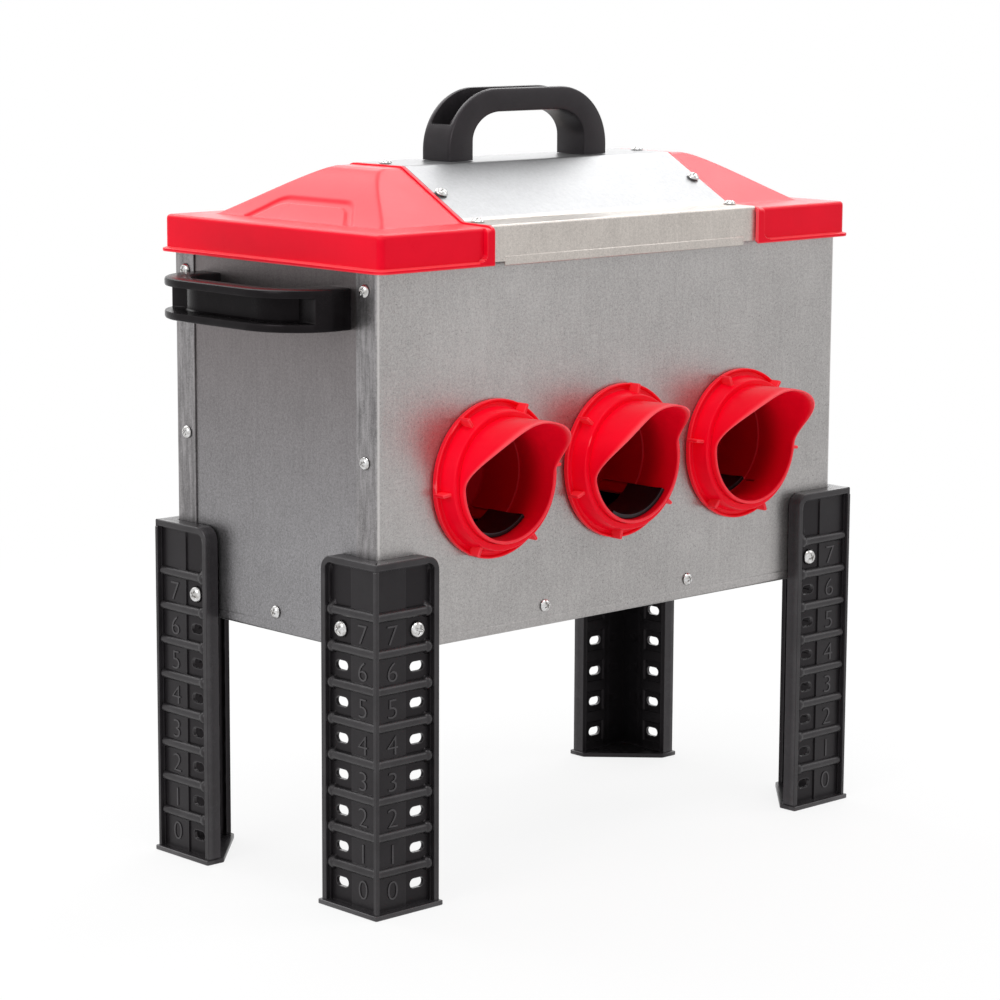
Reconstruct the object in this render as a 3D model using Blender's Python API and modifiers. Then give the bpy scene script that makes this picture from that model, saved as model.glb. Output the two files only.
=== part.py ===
"""Poultry feeder: a galvanised hopper on four height-set legs, with three hooded feed ports and a lift-off lid.

Metres, +Z up. The origin is on the floor under the middle of the whole feeder; the ports face -Y.
"""
import math

import bmesh
import bpy
from mathutils import Matrix, Vector

# Fits and sheet metal
FIT = 0.0003
SHEET = 0.0008
BEND = 0.002
BEND_STEPS = 2

# Hopper body
BODY_WIDTH = 0.452
BODY_DEPTH = 0.215
BODY_HEIGHT = 0.2787
CORNER_FLANGE = 0.021
TOP_RETURN = 0.007
BOTTOM_RETURN = 0.009
RELIEF = 0.003
PAN_WALL = 0.024

# Screws: one size throughout, and a larger one that holds the legs
SCREW_RADIUS = 0.0022
SCREW_LENGTH = 0.009
SCREW_CLEARANCE = 0.0003
HEAD_RADIUS = 0.0046
HEAD_HEIGHT = 0.0026
SCREW_SIDES = 8
LEG_SCREW_RADIUS = 0.0029
LEG_HEAD_RADIUS = 0.006
LEG_HEAD_HEIGHT = 0.0034
FLANGE_SCREW_INSET = 0.0122
FLANGE_SCREW_DROP = 0.0356
FLANGE_SCREW_PITCH = 0.1141
PAN_SCREW_RISE = 0.0144
PAN_SCREW_SPREAD = 0.0718

# Legs
LEG_HEIGHT = 0.2418
LEG_ARM = 0.0455
LEG_STAND = 0.012
LEG_SEAT = 0.0004
LEG_FACE = 0.0065
LEG_RECESS = 0.0032
LEG_RIM = 0.0045
LEG_TOP_RADIUS = 0.010
PAD_WIDTH = 0.018
PAD_FACE = 0.008
BEAD = 0.0045
ROWS = 8
ROW_PITCH = 0.025
FIRST_ROW = 0.0177
SLOT_INSET = 0.029
SLOT_LENGTH = 0.0125
SLOT_HEIGHT = 0.0068
RIB_HEIGHT = 0.006
RIB_STAND = 0.003
RIB_END = 0.0395
FOOT_HEIGHT = 0.0034
FOOT_LIP = 0.0015
LEG_SCREW_RISE = 0.016
LEG_NOTCH_MARGIN = 0.0015

# Feed ports
PORT_SPACING = 0.1227
PORT_RISE = 0.1094
PORT_TURNS = (-1.4, -12.3, 3.5)
BORE = 0.0406
TUBE_WALL = 0.0024
TUBE_DEPTH = 0.0555
TUBE_FLANGE = 0.050
TUBE_FLANGE_WALL = 0.003
RIM_REACH = 0.0185
HOOD_MARGIN = 0.001
HOOD_REACH = 0.033
HOOD_FLARE = 0.002
HOOD_FOOT = -0.06
HOOD_BOW = 1.2
ROUND_STEPS = 36
RING_FLANGE = 0.055
RING_FLANGE_WALL = 0.0032
RING_COLLAR = 0.048
RING_COLLAR_REACH = 0.0145
RING_RIBS = 6
RING_RIB_WALL = 0.0024
RING_RIB_REACH = 0.0115
RING_TURNS = (5.7, 21.0, 52.0)

# Feed gates, curved slides in the floor of each port
GATE_WALL = 0.0018
GATE_LENGTH = 0.036
GATE_HALF_ANGLE = 42.0
GATE_LIP = 0.0018
GATE_RUNNER_WALL = 0.0014
GATE_RUNNER_REACH = 0.0009
GROOVE_DEPTH = 0.0013
GROOVE_WALL = 0.0021
GROOVE_FRONT = -0.0157
GROOVE_BACK = 0.0513
GATE_FRONTS = (-0.0039, -0.0139, 0.015)
FEED_OPENING_HALF = 0.022
FEED_OPENING_LENGTH = 0.026

# Lid
LID_OVERHANG_END = 0.0033
LID_OVERHANG_FRONT = 0.0073
LID_SKIRT = 0.0257
LID_SEAT = 0.0023
LEDGE_END = 0.0243
LEDGE_FRONT = 0.0268
LEDGE_RISE = 0.0006
RIDGE_RISE = 0.0346
END_SLOPE_RUN = 0.055
RIDGE_HALF_WIDTH = 0.026
CAP_LENGTH = 0.0993
CAP_WALL = 0.0022
CAP_LIP = 0.0032
CAP_END_FLANGE = 0.0072
CAP_TONGUE = 0.012
HIP_BEVEL = 0.008
SKIRT_BEVEL = 0.003
END_GROOVE_FOOT = 0.059
END_GROOVE_TOP = 0.037
END_GROOVE_RISE = 0.024
END_GROOVE_START = 0.001
END_GROOVE_WIDTH = 0.008
END_GROOVE_DEPTH = 0.0012
LID_SHEET_BEND = 0.0025
HEM_HEIGHT = 0.0035
HEM_END = 0.012
LID_SCREW_INSET = 0.0055
LEDGE_SCREW_INSET = 0.0203

# Handles: half length, reach, width and cheek of the lid's handle and of the two side handles
LID_HANDLE = (0.0773, 0.0497, 0.0296, 0.0048)
SIDE_HANDLE = (0.080, 0.0537, 0.028, 0.0056)
HANDLE_LEG = 0.0225
HANDLE_GRIP = 0.0165
HANDLE_WEB = 0.003
HANDLE_FOOT = 0.0255
HANDLE_OUTER_CORNER = (0.046, 0.043)
HANDLE_INNER_CORNER = (0.027, 0.020)
HANDLE_SCREW_X = 0.066
SIDE_HANDLE_DROP = 0.0489

# Levels and faces that follow from the sizes above
LAST_ROW = FIRST_ROW + (ROWS - 1) * ROW_PITCH
BODY_BOTTOM = LAST_ROW - LEG_SCREW_RISE
BODY_TOP = BODY_BOTTOM + BODY_HEIGHT
HALF_WIDTH = BODY_WIDTH / 2
HALF_DEPTH = BODY_DEPTH / 2
SIDE_FACE = HALF_WIDTH - SHEET - FIT
LID_HALF_LENGTH = HALF_WIDTH + LID_OVERHANG_END
LID_HALF_DEPTH = HALF_DEPTH + LID_OVERHANG_FRONT
LEDGE_EDGE = BODY_TOP + LID_SEAT
LEDGE_FOOT = LEDGE_EDGE + LEDGE_RISE
RIDGE = LEDGE_FOOT + RIDGE_RISE
SLOPE_FOOT_Y = LID_HALF_DEPTH - LEDGE_FRONT
SLOPE_FOOT_X = LID_HALF_LENGTH - LEDGE_END
RIDGE_HALF_LENGTH = SLOPE_FOOT_X - END_SLOPE_RUN
LID_SHEET_HALF_LENGTH = LID_HALF_LENGTH - CAP_LENGTH
SLOPE_SCREW_Y = (SLOPE_FOOT_Y + RIDGE_HALF_WIDTH) / 2
LEDGE_SCREW_Y = LID_HALF_DEPTH - LEDGE_SCREW_INSET
SLOPE_ANGLE = math.atan2(RIDGE_RISE, SLOPE_FOOT_Y - RIDGE_HALF_WIDTH)
LID_SHEET_LIFT = FIT / math.cos(SLOPE_ANGLE) + SHEET / math.cos(SLOPE_ANGLE)
TUBE_OUTER = BORE + TUBE_WALL
PORT_HEIGHT = BODY_BOTTOM + PORT_RISE


def clear_scene():
    """Remove every object, so that the part is alone in the file."""
    for item in list(bpy.data.objects):
        bpy.data.objects.remove(item, do_unlink=True)


def new_collection(name):
    """A collection linked to the scene."""
    group = bpy.data.collections.new(name)
    bpy.context.scene.collection.children.link(group)
    return group


def new_material(name, color, roughness, metallic):
    """A Principled material with one colour, roughness and metallic value."""
    material = bpy.data.materials.new(name)
    material.use_nodes = True
    shader = material.node_tree.nodes["Principled BSDF"]
    shader.inputs["Base Color"].default_value = (*color, 1.0)
    shader.inputs["Roughness"].default_value = roughness
    shader.inputs["Metallic"].default_value = metallic
    return material


def to_mesh(bm, name):
    """Write a bmesh into a new mesh with its faces outward."""
    bmesh.ops.recalc_face_normals(bm, faces=bm.faces)
    mesh = bpy.data.meshes.new(name)
    bm.to_mesh(mesh)
    bm.free()
    return mesh


def add_object(name, mesh, group, material=None):
    """An object for a mesh, in a collection."""
    item = bpy.data.objects.new(name, mesh)
    group.objects.link(item)
    if material:
        mesh.materials.clear()
        mesh.materials.append(material)
    return item


def add_cutter(name, bm):
    """A hidden wire object that a Boolean reads."""
    item = add_object(name, to_mesh(bm, name), CUTTERS)
    item.hide_render = True
    item.display_type = "WIRE"
    return item


def boolean(item, operation, bm, self_crossing=False):
    """Join, cut or keep the overlap with a bmesh, by a modifier that stays on the object."""
    other = add_cutter(f"{item.name}_{operation.lower()}_{len(item.modifiers)}", bm)
    other.matrix_world = item.matrix_world
    modifier = item.modifiers.new(operation.title(), "BOOLEAN")
    modifier.operation = operation
    modifier.solver = "EXACT"
    modifier.use_self = self_crossing
    modifier.object = other


def baked(item):
    """The evaluated mesh of an object whose copies share it; the object itself goes."""
    bpy.context.view_layer.update()
    graph = bpy.context.evaluated_depsgraph_get()
    mesh = bpy.data.meshes.new_from_object(item.evaluated_get(graph))
    mesh.name = item.name
    for modifier in item.modifiers:
        if modifier.type == "BOOLEAN":
            bpy.data.objects.remove(modifier.object, do_unlink=True)
    bpy.data.objects.remove(item, do_unlink=True)
    return mesh


def box(bm, x, y, z):
    """Add a box to a bmesh, each side given as a (low, high) pair."""
    sides = [high - low for low, high in (x, y, z)]
    middle = [(low + high) / 2 for low, high in (x, y, z)]
    placed = Matrix.Translation(middle) @ Matrix.Diagonal((*sides, 1.0))
    return bmesh.ops.create_cube(bm, size=1.0, matrix=placed)["verts"]


def cylinder(bm, start, direction, radius, length, sides):
    """Add a closed cylinder that runs from a point along a direction."""
    along = Vector(direction).normalized()
    turn = along.to_track_quat("Z", "Y").to_matrix().to_4x4()
    placed = Matrix.Translation(Vector(start) + along * length / 2) @ turn
    bmesh.ops.create_cone(
        bm, cap_ends=True, segments=sides, radius1=radius, radius2=radius, depth=length, matrix=placed
    )


PLANES = {
    "XY": Matrix.Identity(4),
    "XZ": Matrix(((1, 0, 0, 0), (0, 0, 1, 0), (0, 1, 0, 0), (0, 0, 0, 1))),
    "YZ": Matrix(((0, 0, 1, 0), (1, 0, 0, 0), (0, 1, 0, 0), (0, 0, 0, 1))),
}


def plate(bm, outline, low, high, plane):
    """Add a flat outline, filled and extruded, between two levels of the axis across its plane."""
    curve = bpy.data.curves.new("outline", "CURVE")
    curve.dimensions = "2D"
    curve.fill_mode = "BOTH"
    curve.extrude = (high - low) / 2
    spline = curve.splines.new("POLY")
    spline.points.add(len(outline) - 1)
    for point, (u, v) in zip(spline.points, outline):
        point.co = (u, v, 0.0, 1.0)
    spline.use_cyclic_u = True
    drawn = bpy.data.objects.new("outline", curve)
    mesh = bpy.data.meshes.new_from_object(drawn)
    before = set(bm.verts)
    bm.from_mesh(mesh)
    added = [vertex for vertex in bm.verts if vertex not in before]
    bmesh.ops.remove_doubles(bm, verts=added, dist=1e-6)
    added = [vertex for vertex in bm.verts if vertex not in before]
    placed = PLANES[plane] @ Matrix.Translation((0, 0, (low + high) / 2))
    bmesh.ops.transform(bm, matrix=placed, verts=added)
    bpy.data.objects.remove(drawn)
    bpy.data.curves.remove(curve)
    bpy.data.meshes.remove(mesh)
    return added


def corner_arc(centre, radii, start, steps):
    """Points of a quarter ellipse about a centre, turning left from the start angle."""
    points = []
    for step in range(steps + 1):
        angle = math.radians(start + 90 * step / steps)
        points.append((centre[0] + radii[0] * math.cos(angle), centre[1] + radii[1] * math.sin(angle)))
    return points


def rounded(points, radius, steps):
    """A line of points with each inner corner replaced by an arc of the given radius."""
    result = [points[0]]
    for before, corner, after in zip(points, points[1:], points[2:]):
        corner = Vector(corner)
        back = (Vector(before) - corner).normalized()
        ahead = (Vector(after) - corner).normalized()
        half = back.angle(ahead) / 2
        reach = radius / math.tan(half)
        centre = corner + (back + ahead).normalized() * radius / math.sin(half)
        start = corner + back * reach - centre
        end = corner + ahead * reach - centre
        for step in range(steps + 1):
            mix = start.lerp(end, step / steps).normalized() * radius
            result.append(tuple(centre + mix))
    result.append(points[-1])
    return result


def strip(points, wall):
    """The closed outline of a line of points thickened to its right side."""
    inner = []
    for index, point in enumerate(points):
        ahead = Vector(points[min(index + 1, len(points) - 1)]) - Vector(points[max(index, 0)])
        behind = Vector(point) - Vector(points[max(index - 1, 0)])
        ahead = ahead.normalized() if ahead.length else behind.normalized()
        behind = behind.normalized() if behind.length else ahead
        right_ahead = Vector((ahead.y, -ahead.x))
        right_behind = Vector((behind.y, -behind.x))
        bisector = (right_ahead + right_behind).normalized()
        inner.append(tuple(Vector(point) + bisector * wall / bisector.dot(right_ahead)))
    return list(points) + inner[::-1]


def turned(bm, profile, steps):
    """Spin a profile of (radius, y) points a full turn about the Y axis."""
    points = [bm.verts.new((radius, y, 0.0)) for radius, y in profile]
    edges = [bm.edges.new(pair) for pair in zip(points, points[1:])]
    if profile[0][0] > 0:
        edges.append(bm.edges.new((points[-1], points[0])))
    bmesh.ops.spin(
        bm, geom=points + edges, cent=(0, 0, 0), axis=(0, 1, 0), angle=math.tau, steps=steps,
        use_duplicate=False
    )
    bmesh.ops.remove_doubles(bm, verts=bm.verts, dist=1e-6)


def folded_sheet(name, width, height, folds, relief, material):
    """A flat sheet in its own XY plane with its edges folded down, its corners relieved and its bends rounded.

    folds gives the length of the fold at each side, by the name of the side.
    """
    bm = bmesh.new()
    box(bm, (-width / 2, width / 2), (-height / 2, height / 2), (-1, 0))
    spare = [face for face in bm.faces if face.normal.z < 0.5]
    bmesh.ops.delete(bm, geom=spare, context="FACES")
    for level in (-width / 2 + relief[0], width / 2 - relief[0]):
        geometry = bm.verts[:] + bm.edges[:] + bm.faces[:]
        bmesh.ops.bisect_plane(bm, geom=geometry, plane_co=(level, 0, 0), plane_no=(1, 0, 0))
    for level in (-height / 2 + relief[1], height / 2 - relief[1]):
        geometry = bm.verts[:] + bm.edges[:] + bm.faces[:]
        bmesh.ops.bisect_plane(bm, geom=geometry, plane_co=(0, level, 0), plane_no=(0, 1, 0))
    corners = []
    for face in bm.faces:
        middle = face.calc_center_median()
        if abs(middle.x) > width / 2 - relief[0] and abs(middle.y) > height / 2 - relief[1]:
            corners.append(face)
    bmesh.ops.delete(bm, geom=corners, context="FACES")
    sides = {
        "left": lambda point: abs(point.x + width / 2) < 1e-6,
        "right": lambda point: abs(point.x - width / 2) < 1e-6,
        "low": lambda point: abs(point.y + height / 2) < 1e-6,
        "high": lambda point: abs(point.y - height / 2) < 1e-6,
    }
    bends = []
    for side, length in folds.items():
        edges = [edge for edge in bm.edges if all(sides[side](vertex.co) for vertex in edge.verts)]
        bends += edges
        made = bmesh.ops.extrude_edge_only(bm, edges=edges)["geom"]
        moved = [part for part in made if isinstance(part, bmesh.types.BMVert)]
        bmesh.ops.translate(bm, verts=moved, vec=(0, 0, -length))
    bmesh.ops.bevel(bm, geom=bends, offset=BEND, segments=BEND_STEPS, profile=0.5, affect="EDGES")
    bmesh.ops.recalc_face_normals(bm, faces=bm.faces)
    if max(bm.faces, key=lambda face: face.calc_area()).normal.z < 0:
        bmesh.ops.reverse_faces(bm, faces=bm.faces)
    mesh = bpy.data.meshes.new(name)
    bm.to_mesh(mesh)
    bm.free()
    item = add_object(name, mesh, PART, material)
    wall = item.modifiers.new("Wall", "SOLIDIFY")
    wall.thickness = SHEET
    wall.offset = -1.0
    wall.use_even_offset = True
    return item


def drilled(item, holes, radius, sides):
    """Cut round holes, each given in world axes by a point and a direction, through a placed sheet."""
    bpy.context.view_layer.update()
    inverse = item.matrix_world.inverted()
    bm = bmesh.new()
    depth = 2 * SCREW_LENGTH
    for point, direction in holes:
        along = Vector(direction).normalized()
        start = Vector(point) - along * depth / 2
        cylinder(bm, inverse @ start, inverse.to_3x3() @ along, radius, depth, sides)
    boolean(item, "DIFFERENCE", bm)


def flange_screws():
    """Screws through the corner flanges on both ends of the hopper: name, point on the face, direction in."""
    screws = []
    for end, x in (("left", -1), ("right", 1)):
        for side, y in (("front", -1), ("back", 1)):
            for row, below in (("upper", 0.0), ("lower", FLANGE_SCREW_PITCH)):
                height = BODY_TOP - FLANGE_SCREW_DROP - below
                place = (x * HALF_WIDTH, y * (HALF_DEPTH - FLANGE_SCREW_INSET), height)
                screws.append((f"flange_screw_{end}_{side}_{row}", place, (-x, 0, 0)))
    return screws


def pan_screws():
    """Screws through the foot of each panel into the walls of the bottom pan."""
    height = BODY_BOTTOM + PAN_SCREW_RISE
    screws = []
    for end, x in (("left", -1), ("right", 1)):
        screws.append((f"pan_screw_{end}", (x * SIDE_FACE, 0, height), (-x, 0, 0)))
    for side, y in (("front", -1), ("back", 1)):
        for end, x in (("left", -1), ("right", 1)):
            place = (x * PAN_SCREW_SPREAD, y * HALF_DEPTH, height)
            screws.append((f"pan_screw_{side}_{end}", place, (0, -y, 0)))
    return screws


def build_panels():
    """Front and back panels with corner flanges, the two side panels inside them, and the bottom pan."""
    half_height = BODY_HEIGHT / 2
    middle = BODY_BOTTOM + half_height
    folds = {"left": CORNER_FLANGE, "right": CORNER_FLANGE, "low": BOTTOM_RETURN, "high": TOP_RETURN}
    upright = Matrix.Rotation(math.radians(90), 4, "X")
    hole = SCREW_RADIUS + SCREW_CLEARANCE
    flange = flange_screws()
    pan = pan_screws()
    for name, y in (("front", -1), ("back", 1)):
        panel = folded_sheet(f"{name}_panel", BODY_WIDTH, BODY_HEIGHT, folds, (RELIEF, RELIEF), GALVANISED)
        turn = Matrix.Rotation(0 if y < 0 else math.pi, 4, "Z")
        panel.matrix_world = Matrix.Translation((0, y * HALF_DEPTH, middle)) @ turn @ upright
        holes = [(point, way) for key, point, way in flange + pan if f"_{name}" in key]
        drilled(panel, holes, hole, SCREW_SIDES)
        if name == "front":
            mouths = [((x, -HALF_DEPTH, PORT_HEIGHT), (0, 1, 0)) for x in port_places()]
            drilled(panel, mouths, TUBE_OUTER + FIT, ROUND_STEPS)
    side_width = BODY_DEPTH - 2 * (BEND + FIT)
    side_folds = {"low": BOTTOM_RETURN, "high": TOP_RETURN}
    side_relief = (max(BOTTOM_RETURN, TOP_RETURN) + SHEET + BEND, RELIEF)
    for name, x in (("left", -1), ("right", 1)):
        panel = folded_sheet(f"{name}_panel", side_width, BODY_HEIGHT, side_folds, side_relief, GALVANISED)
        turn = Matrix.Rotation(math.radians(-90 if x < 0 else 90), 4, "Z")
        panel.matrix_world = Matrix.Translation((x * SIDE_FACE, 0, middle)) @ turn @ upright
        holes = [(point, way) for key, point, way in flange if key.startswith(f"flange_screw_{name}")]
        holes += [(point, way) for key, point, way in pan if key == f"pan_screw_{name}"]
        drilled(panel, holes, hole, SCREW_SIDES)
    pan_width = 2 * (SIDE_FACE - SHEET - FIT)
    pan_depth = BODY_DEPTH - 2 * (SHEET + FIT)
    pan_folds = {side: PAN_WALL for side in ("left", "right", "low", "high")}
    floor = folded_sheet("bottom_pan", pan_width, pan_depth, pan_folds, (RELIEF, RELIEF), GALVANISED)
    turn = Matrix.Rotation(math.pi, 4, "X")
    floor.matrix_world = Matrix.Translation((0, 0, BODY_BOTTOM + SHEET + FIT)) @ turn
    drilled(floor, [(point, way) for key, point, way in pan], hole, SCREW_SIDES)


def screw_mesh(radius=SCREW_RADIUS, length=SCREW_LENGTH, head_radius=HEAD_RADIUS, head_height=HEAD_HEIGHT):
    """A pan-head screw: the underside of its head lies in its own XY plane and its shank runs down -Z."""
    bm = bmesh.new()
    crown = 0.62
    profile = (
        (0.0, -length),
        (radius, -length),
        (radius, 0.0),
        (head_radius, 0.0),
        (head_radius, head_height * 0.4),
        (head_radius * crown, head_height),
        (0.0, head_height),
    )
    turned(bm, profile, SCREW_SIDES)
    bmesh.ops.rotate(bm, verts=bm.verts, cent=(0, 0, 0), matrix=Matrix.Rotation(math.radians(90), 3, "X"))
    return to_mesh(bm, "screw")


def place_screw(name, mesh, point, direction, gap, material=None):
    """Set a screw with its head a gap above a point, its shank going in along the direction."""
    inward = Vector(direction).normalized()
    item = add_object(name, mesh, PART, material)
    turn = (-inward).to_track_quat("Z", "Y").to_matrix().to_4x4()
    item.matrix_world = Matrix.Translation(Vector(point) - inward * gap) @ turn
    return item


def build_screws():
    """The screws that hold the hopper's sheets together."""
    mesh = screw_mesh()
    for name, point, direction in flange_screws() + pan_screws():
        place_screw(name, mesh, point, direction, FIT, ZINC)


def port_places():
    """X of each port, left to right."""
    return [-PORT_SPACING, 0.0, PORT_SPACING]


def hood_share(angle):
    """Share of the hood's reach at an angle from the top of the rim: an S-shaped rise with the height."""
    rise = max((math.cos(angle) - HOOD_FOOT) / (1 - HOOD_FOOT), 0.0)
    wave = rise * rise * (3 - 2 * rise)
    return max(HOOD_BOW * wave + (1 - HOOD_BOW) * rise, 0.0)


def tube_mesh(material):
    """A port: a tube closed at its back, flanged behind the panel, with a hood drawn out over its mouth.

    Its own Y axis is the tube's axis; y = 0 is the outer face of the panel.
    """
    flange_front = SHEET + FIT
    flange_back = flange_front + TUBE_FLANGE_WALL
    hood_start = RING_COLLAR_REACH + HOOD_MARGIN
    bm = bmesh.new()
    profile = (
        (0.0, TUBE_DEPTH),
        (TUBE_OUTER, TUBE_DEPTH),
        (TUBE_OUTER, flange_back),
        (TUBE_FLANGE, flange_back),
        (TUBE_FLANGE, flange_front),
        (TUBE_OUTER, flange_front),
        (TUBE_OUTER, -hood_start),
        (TUBE_OUTER, -RIM_REACH),
        (BORE, -RIM_REACH),
        (BORE, -hood_start),
        (BORE, TUBE_DEPTH - TUBE_WALL),
        (0.0, TUBE_DEPTH - TUBE_WALL),
    )
    turned(bm, profile, ROUND_STEPS)
    for vertex in bm.verts:
        if vertex.co.y < -RIM_REACH + 1e-6:
            share = hood_share(math.atan2(vertex.co.x, vertex.co.z))
            flare = 1 + HOOD_FLARE * share / TUBE_OUTER
            vertex.co.x *= flare
            vertex.co.z *= flare
            vertex.co.y -= HOOD_REACH * share
    item = add_object("port_tube", to_mesh(bm, "port_tube"), PART, material)
    cuts = bmesh.new()
    groove_outer = BORE + GROOVE_DEPTH
    for side in (-1, 1):
        run = (GROOVE_FRONT, GROOVE_BACK)
        wall = (-GROOVE_WALL / 2, GROOVE_WALL / 2)
        groove = box(cuts, wall, run, (-groove_outer, -BORE + 2 * GROOVE_DEPTH))
        turn = Matrix.Rotation(-side * math.radians(GATE_HALF_ANGLE), 3, "Y")
        bmesh.ops.rotate(cuts, verts=groove, cent=(0, 0, 0), matrix=turn)
    opening_back = GROOVE_BACK - 0.003
    opening = (opening_back - FEED_OPENING_LENGTH, opening_back)
    box(cuts, (-FEED_OPENING_HALF, FEED_OPENING_HALF), opening, (-1.2 * TUBE_OUTER, -BORE / 2))
    boolean(item, "DIFFERENCE", cuts)
    return baked(item)


def gate_mesh(material):
    """A feed gate: a curved plate, a raised front lip and a runner on each side, its front edge at y = 0."""
    steps = 9
    outer = BORE - FIT
    inner = outer - GATE_WALL
    runner = BORE + GATE_RUNNER_REACH
    half = math.radians(GATE_HALF_ANGLE)
    spread = GATE_RUNNER_WALL / 2 / BORE

    def at(radius, angle):
        return (radius * math.sin(angle), -radius * math.cos(angle))

    def arc(radius, low, high):
        return [at(radius, low + (high - low) * step / steps) for step in range(steps + 1)]

    outline = arc(inner, half + spread, -half - spread)
    outline += [at(runner, -half - spread), at(runner, -half + spread)]
    outline += arc(outer, -half + spread, half - spread)
    outline += [at(runner, half - spread), at(runner, half + spread)]
    bm = bmesh.new()
    plate(bm, outline, 0.0, GATE_LENGTH, "XZ")
    item = add_object("feed_gate", to_mesh(bm, "feed_gate"), PART, material)
    lip = bmesh.new()
    reach = half * 0.9
    outline = arc(inner - GATE_LIP, reach, -reach) + arc(inner + GATE_WALL / 2, -reach, reach)
    plate(lip, outline, -FIT, GATE_LIP, "XZ")
    boolean(item, "UNION", lip)
    return baked(item)


def ring_mesh(material):
    """A lock ring that screws onto a port from outside: flange, threaded collar and six grip ribs."""
    inner = TUBE_OUTER + FIT
    bm = bmesh.new()
    profile = (
        (inner, -FIT),
        (RING_FLANGE, -FIT),
        (RING_FLANGE, -RING_FLANGE_WALL),
        (RING_COLLAR, -RING_FLANGE_WALL),
        (RING_COLLAR, -RING_COLLAR_REACH),
        (inner, -RING_COLLAR_REACH),
    )
    turned(bm, profile, ROUND_STEPS)
    item = add_object("port_lock_ring", to_mesh(bm, "port_lock_ring"), PART, material)
    ribs = bmesh.new()
    for index in range(RING_RIBS):
        across = (-RING_RIB_WALL / 2, RING_RIB_WALL / 2)
        depth = (-RING_RIB_REACH, -RING_FLANGE_WALL / 2)
        rib = box(ribs, (RING_COLLAR - TUBE_WALL, RING_FLANGE - TUBE_WALL / 3), depth, across)
        turn = Matrix.Rotation(math.tau * index / RING_RIBS, 3, "Y")
        bmesh.ops.rotate(ribs, verts=rib, cent=(0, 0, 0), matrix=turn)
    boolean(item, "UNION", ribs)
    return baked(item)


def build_ports():
    """Three ports, their lock rings and their feed gates, each turned as it was screwed home."""
    tube = tube_mesh(RED)
    ring = ring_mesh(RED)
    gate = gate_mesh(BLACK)
    names = ("left", "middle", "right")
    for name, x, turn, ring_turn, front in zip(names, port_places(), PORT_TURNS, RING_TURNS, GATE_FRONTS):
        centre = Matrix.Translation((x, -HALF_DEPTH, PORT_HEIGHT))
        upright = Matrix.Rotation(math.radians(turn), 4, "Y")
        add_object(f"port_tube_{name}", tube, PART, RED).matrix_world = centre @ upright
        about = Matrix.Rotation(math.radians(-ring_turn), 4, "Y")
        add_object(f"port_lock_ring_{name}", ring, PART, RED).matrix_world = centre @ about
        slid = Matrix.Translation((0, front, 0))
        add_object(f"feed_gate_{name}", gate, PART, BLACK).matrix_world = centre @ upright @ slid


def mirrored_arm(bm, verts):
    """Copy a piece of the arm along X into the arm along Y, across the leg's diagonal."""
    swap = Matrix(((0, 1, 0, 0), (1, 0, 0, 0), (0, 0, 1, 0), (0, 0, 0, 1)))
    faces = {face for vertex in verts for face in vertex.link_faces}
    copied = bmesh.ops.duplicate(bm, geom=list(faces))["geom"]
    moved = [part for part in copied if isinstance(part, bmesh.types.BMVert)]
    bmesh.ops.transform(bm, matrix=swap, verts=moved)


def slot_outline(z):
    """A round-ended slot lying across the arm at a height."""
    radius = SLOT_HEIGHT / 2
    half = SLOT_LENGTH / 2 - radius
    right = (SLOT_INSET + half, z)
    left = (SLOT_INSET - half, z)
    points = []
    for centre, start in ((right, -90), (left, 90)):
        for step in range(4):
            angle = math.radians(start + 60 * step)
            points.append((centre[0] + radius * math.cos(angle), centre[1] + radius * math.sin(angle)))
    return points


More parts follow.
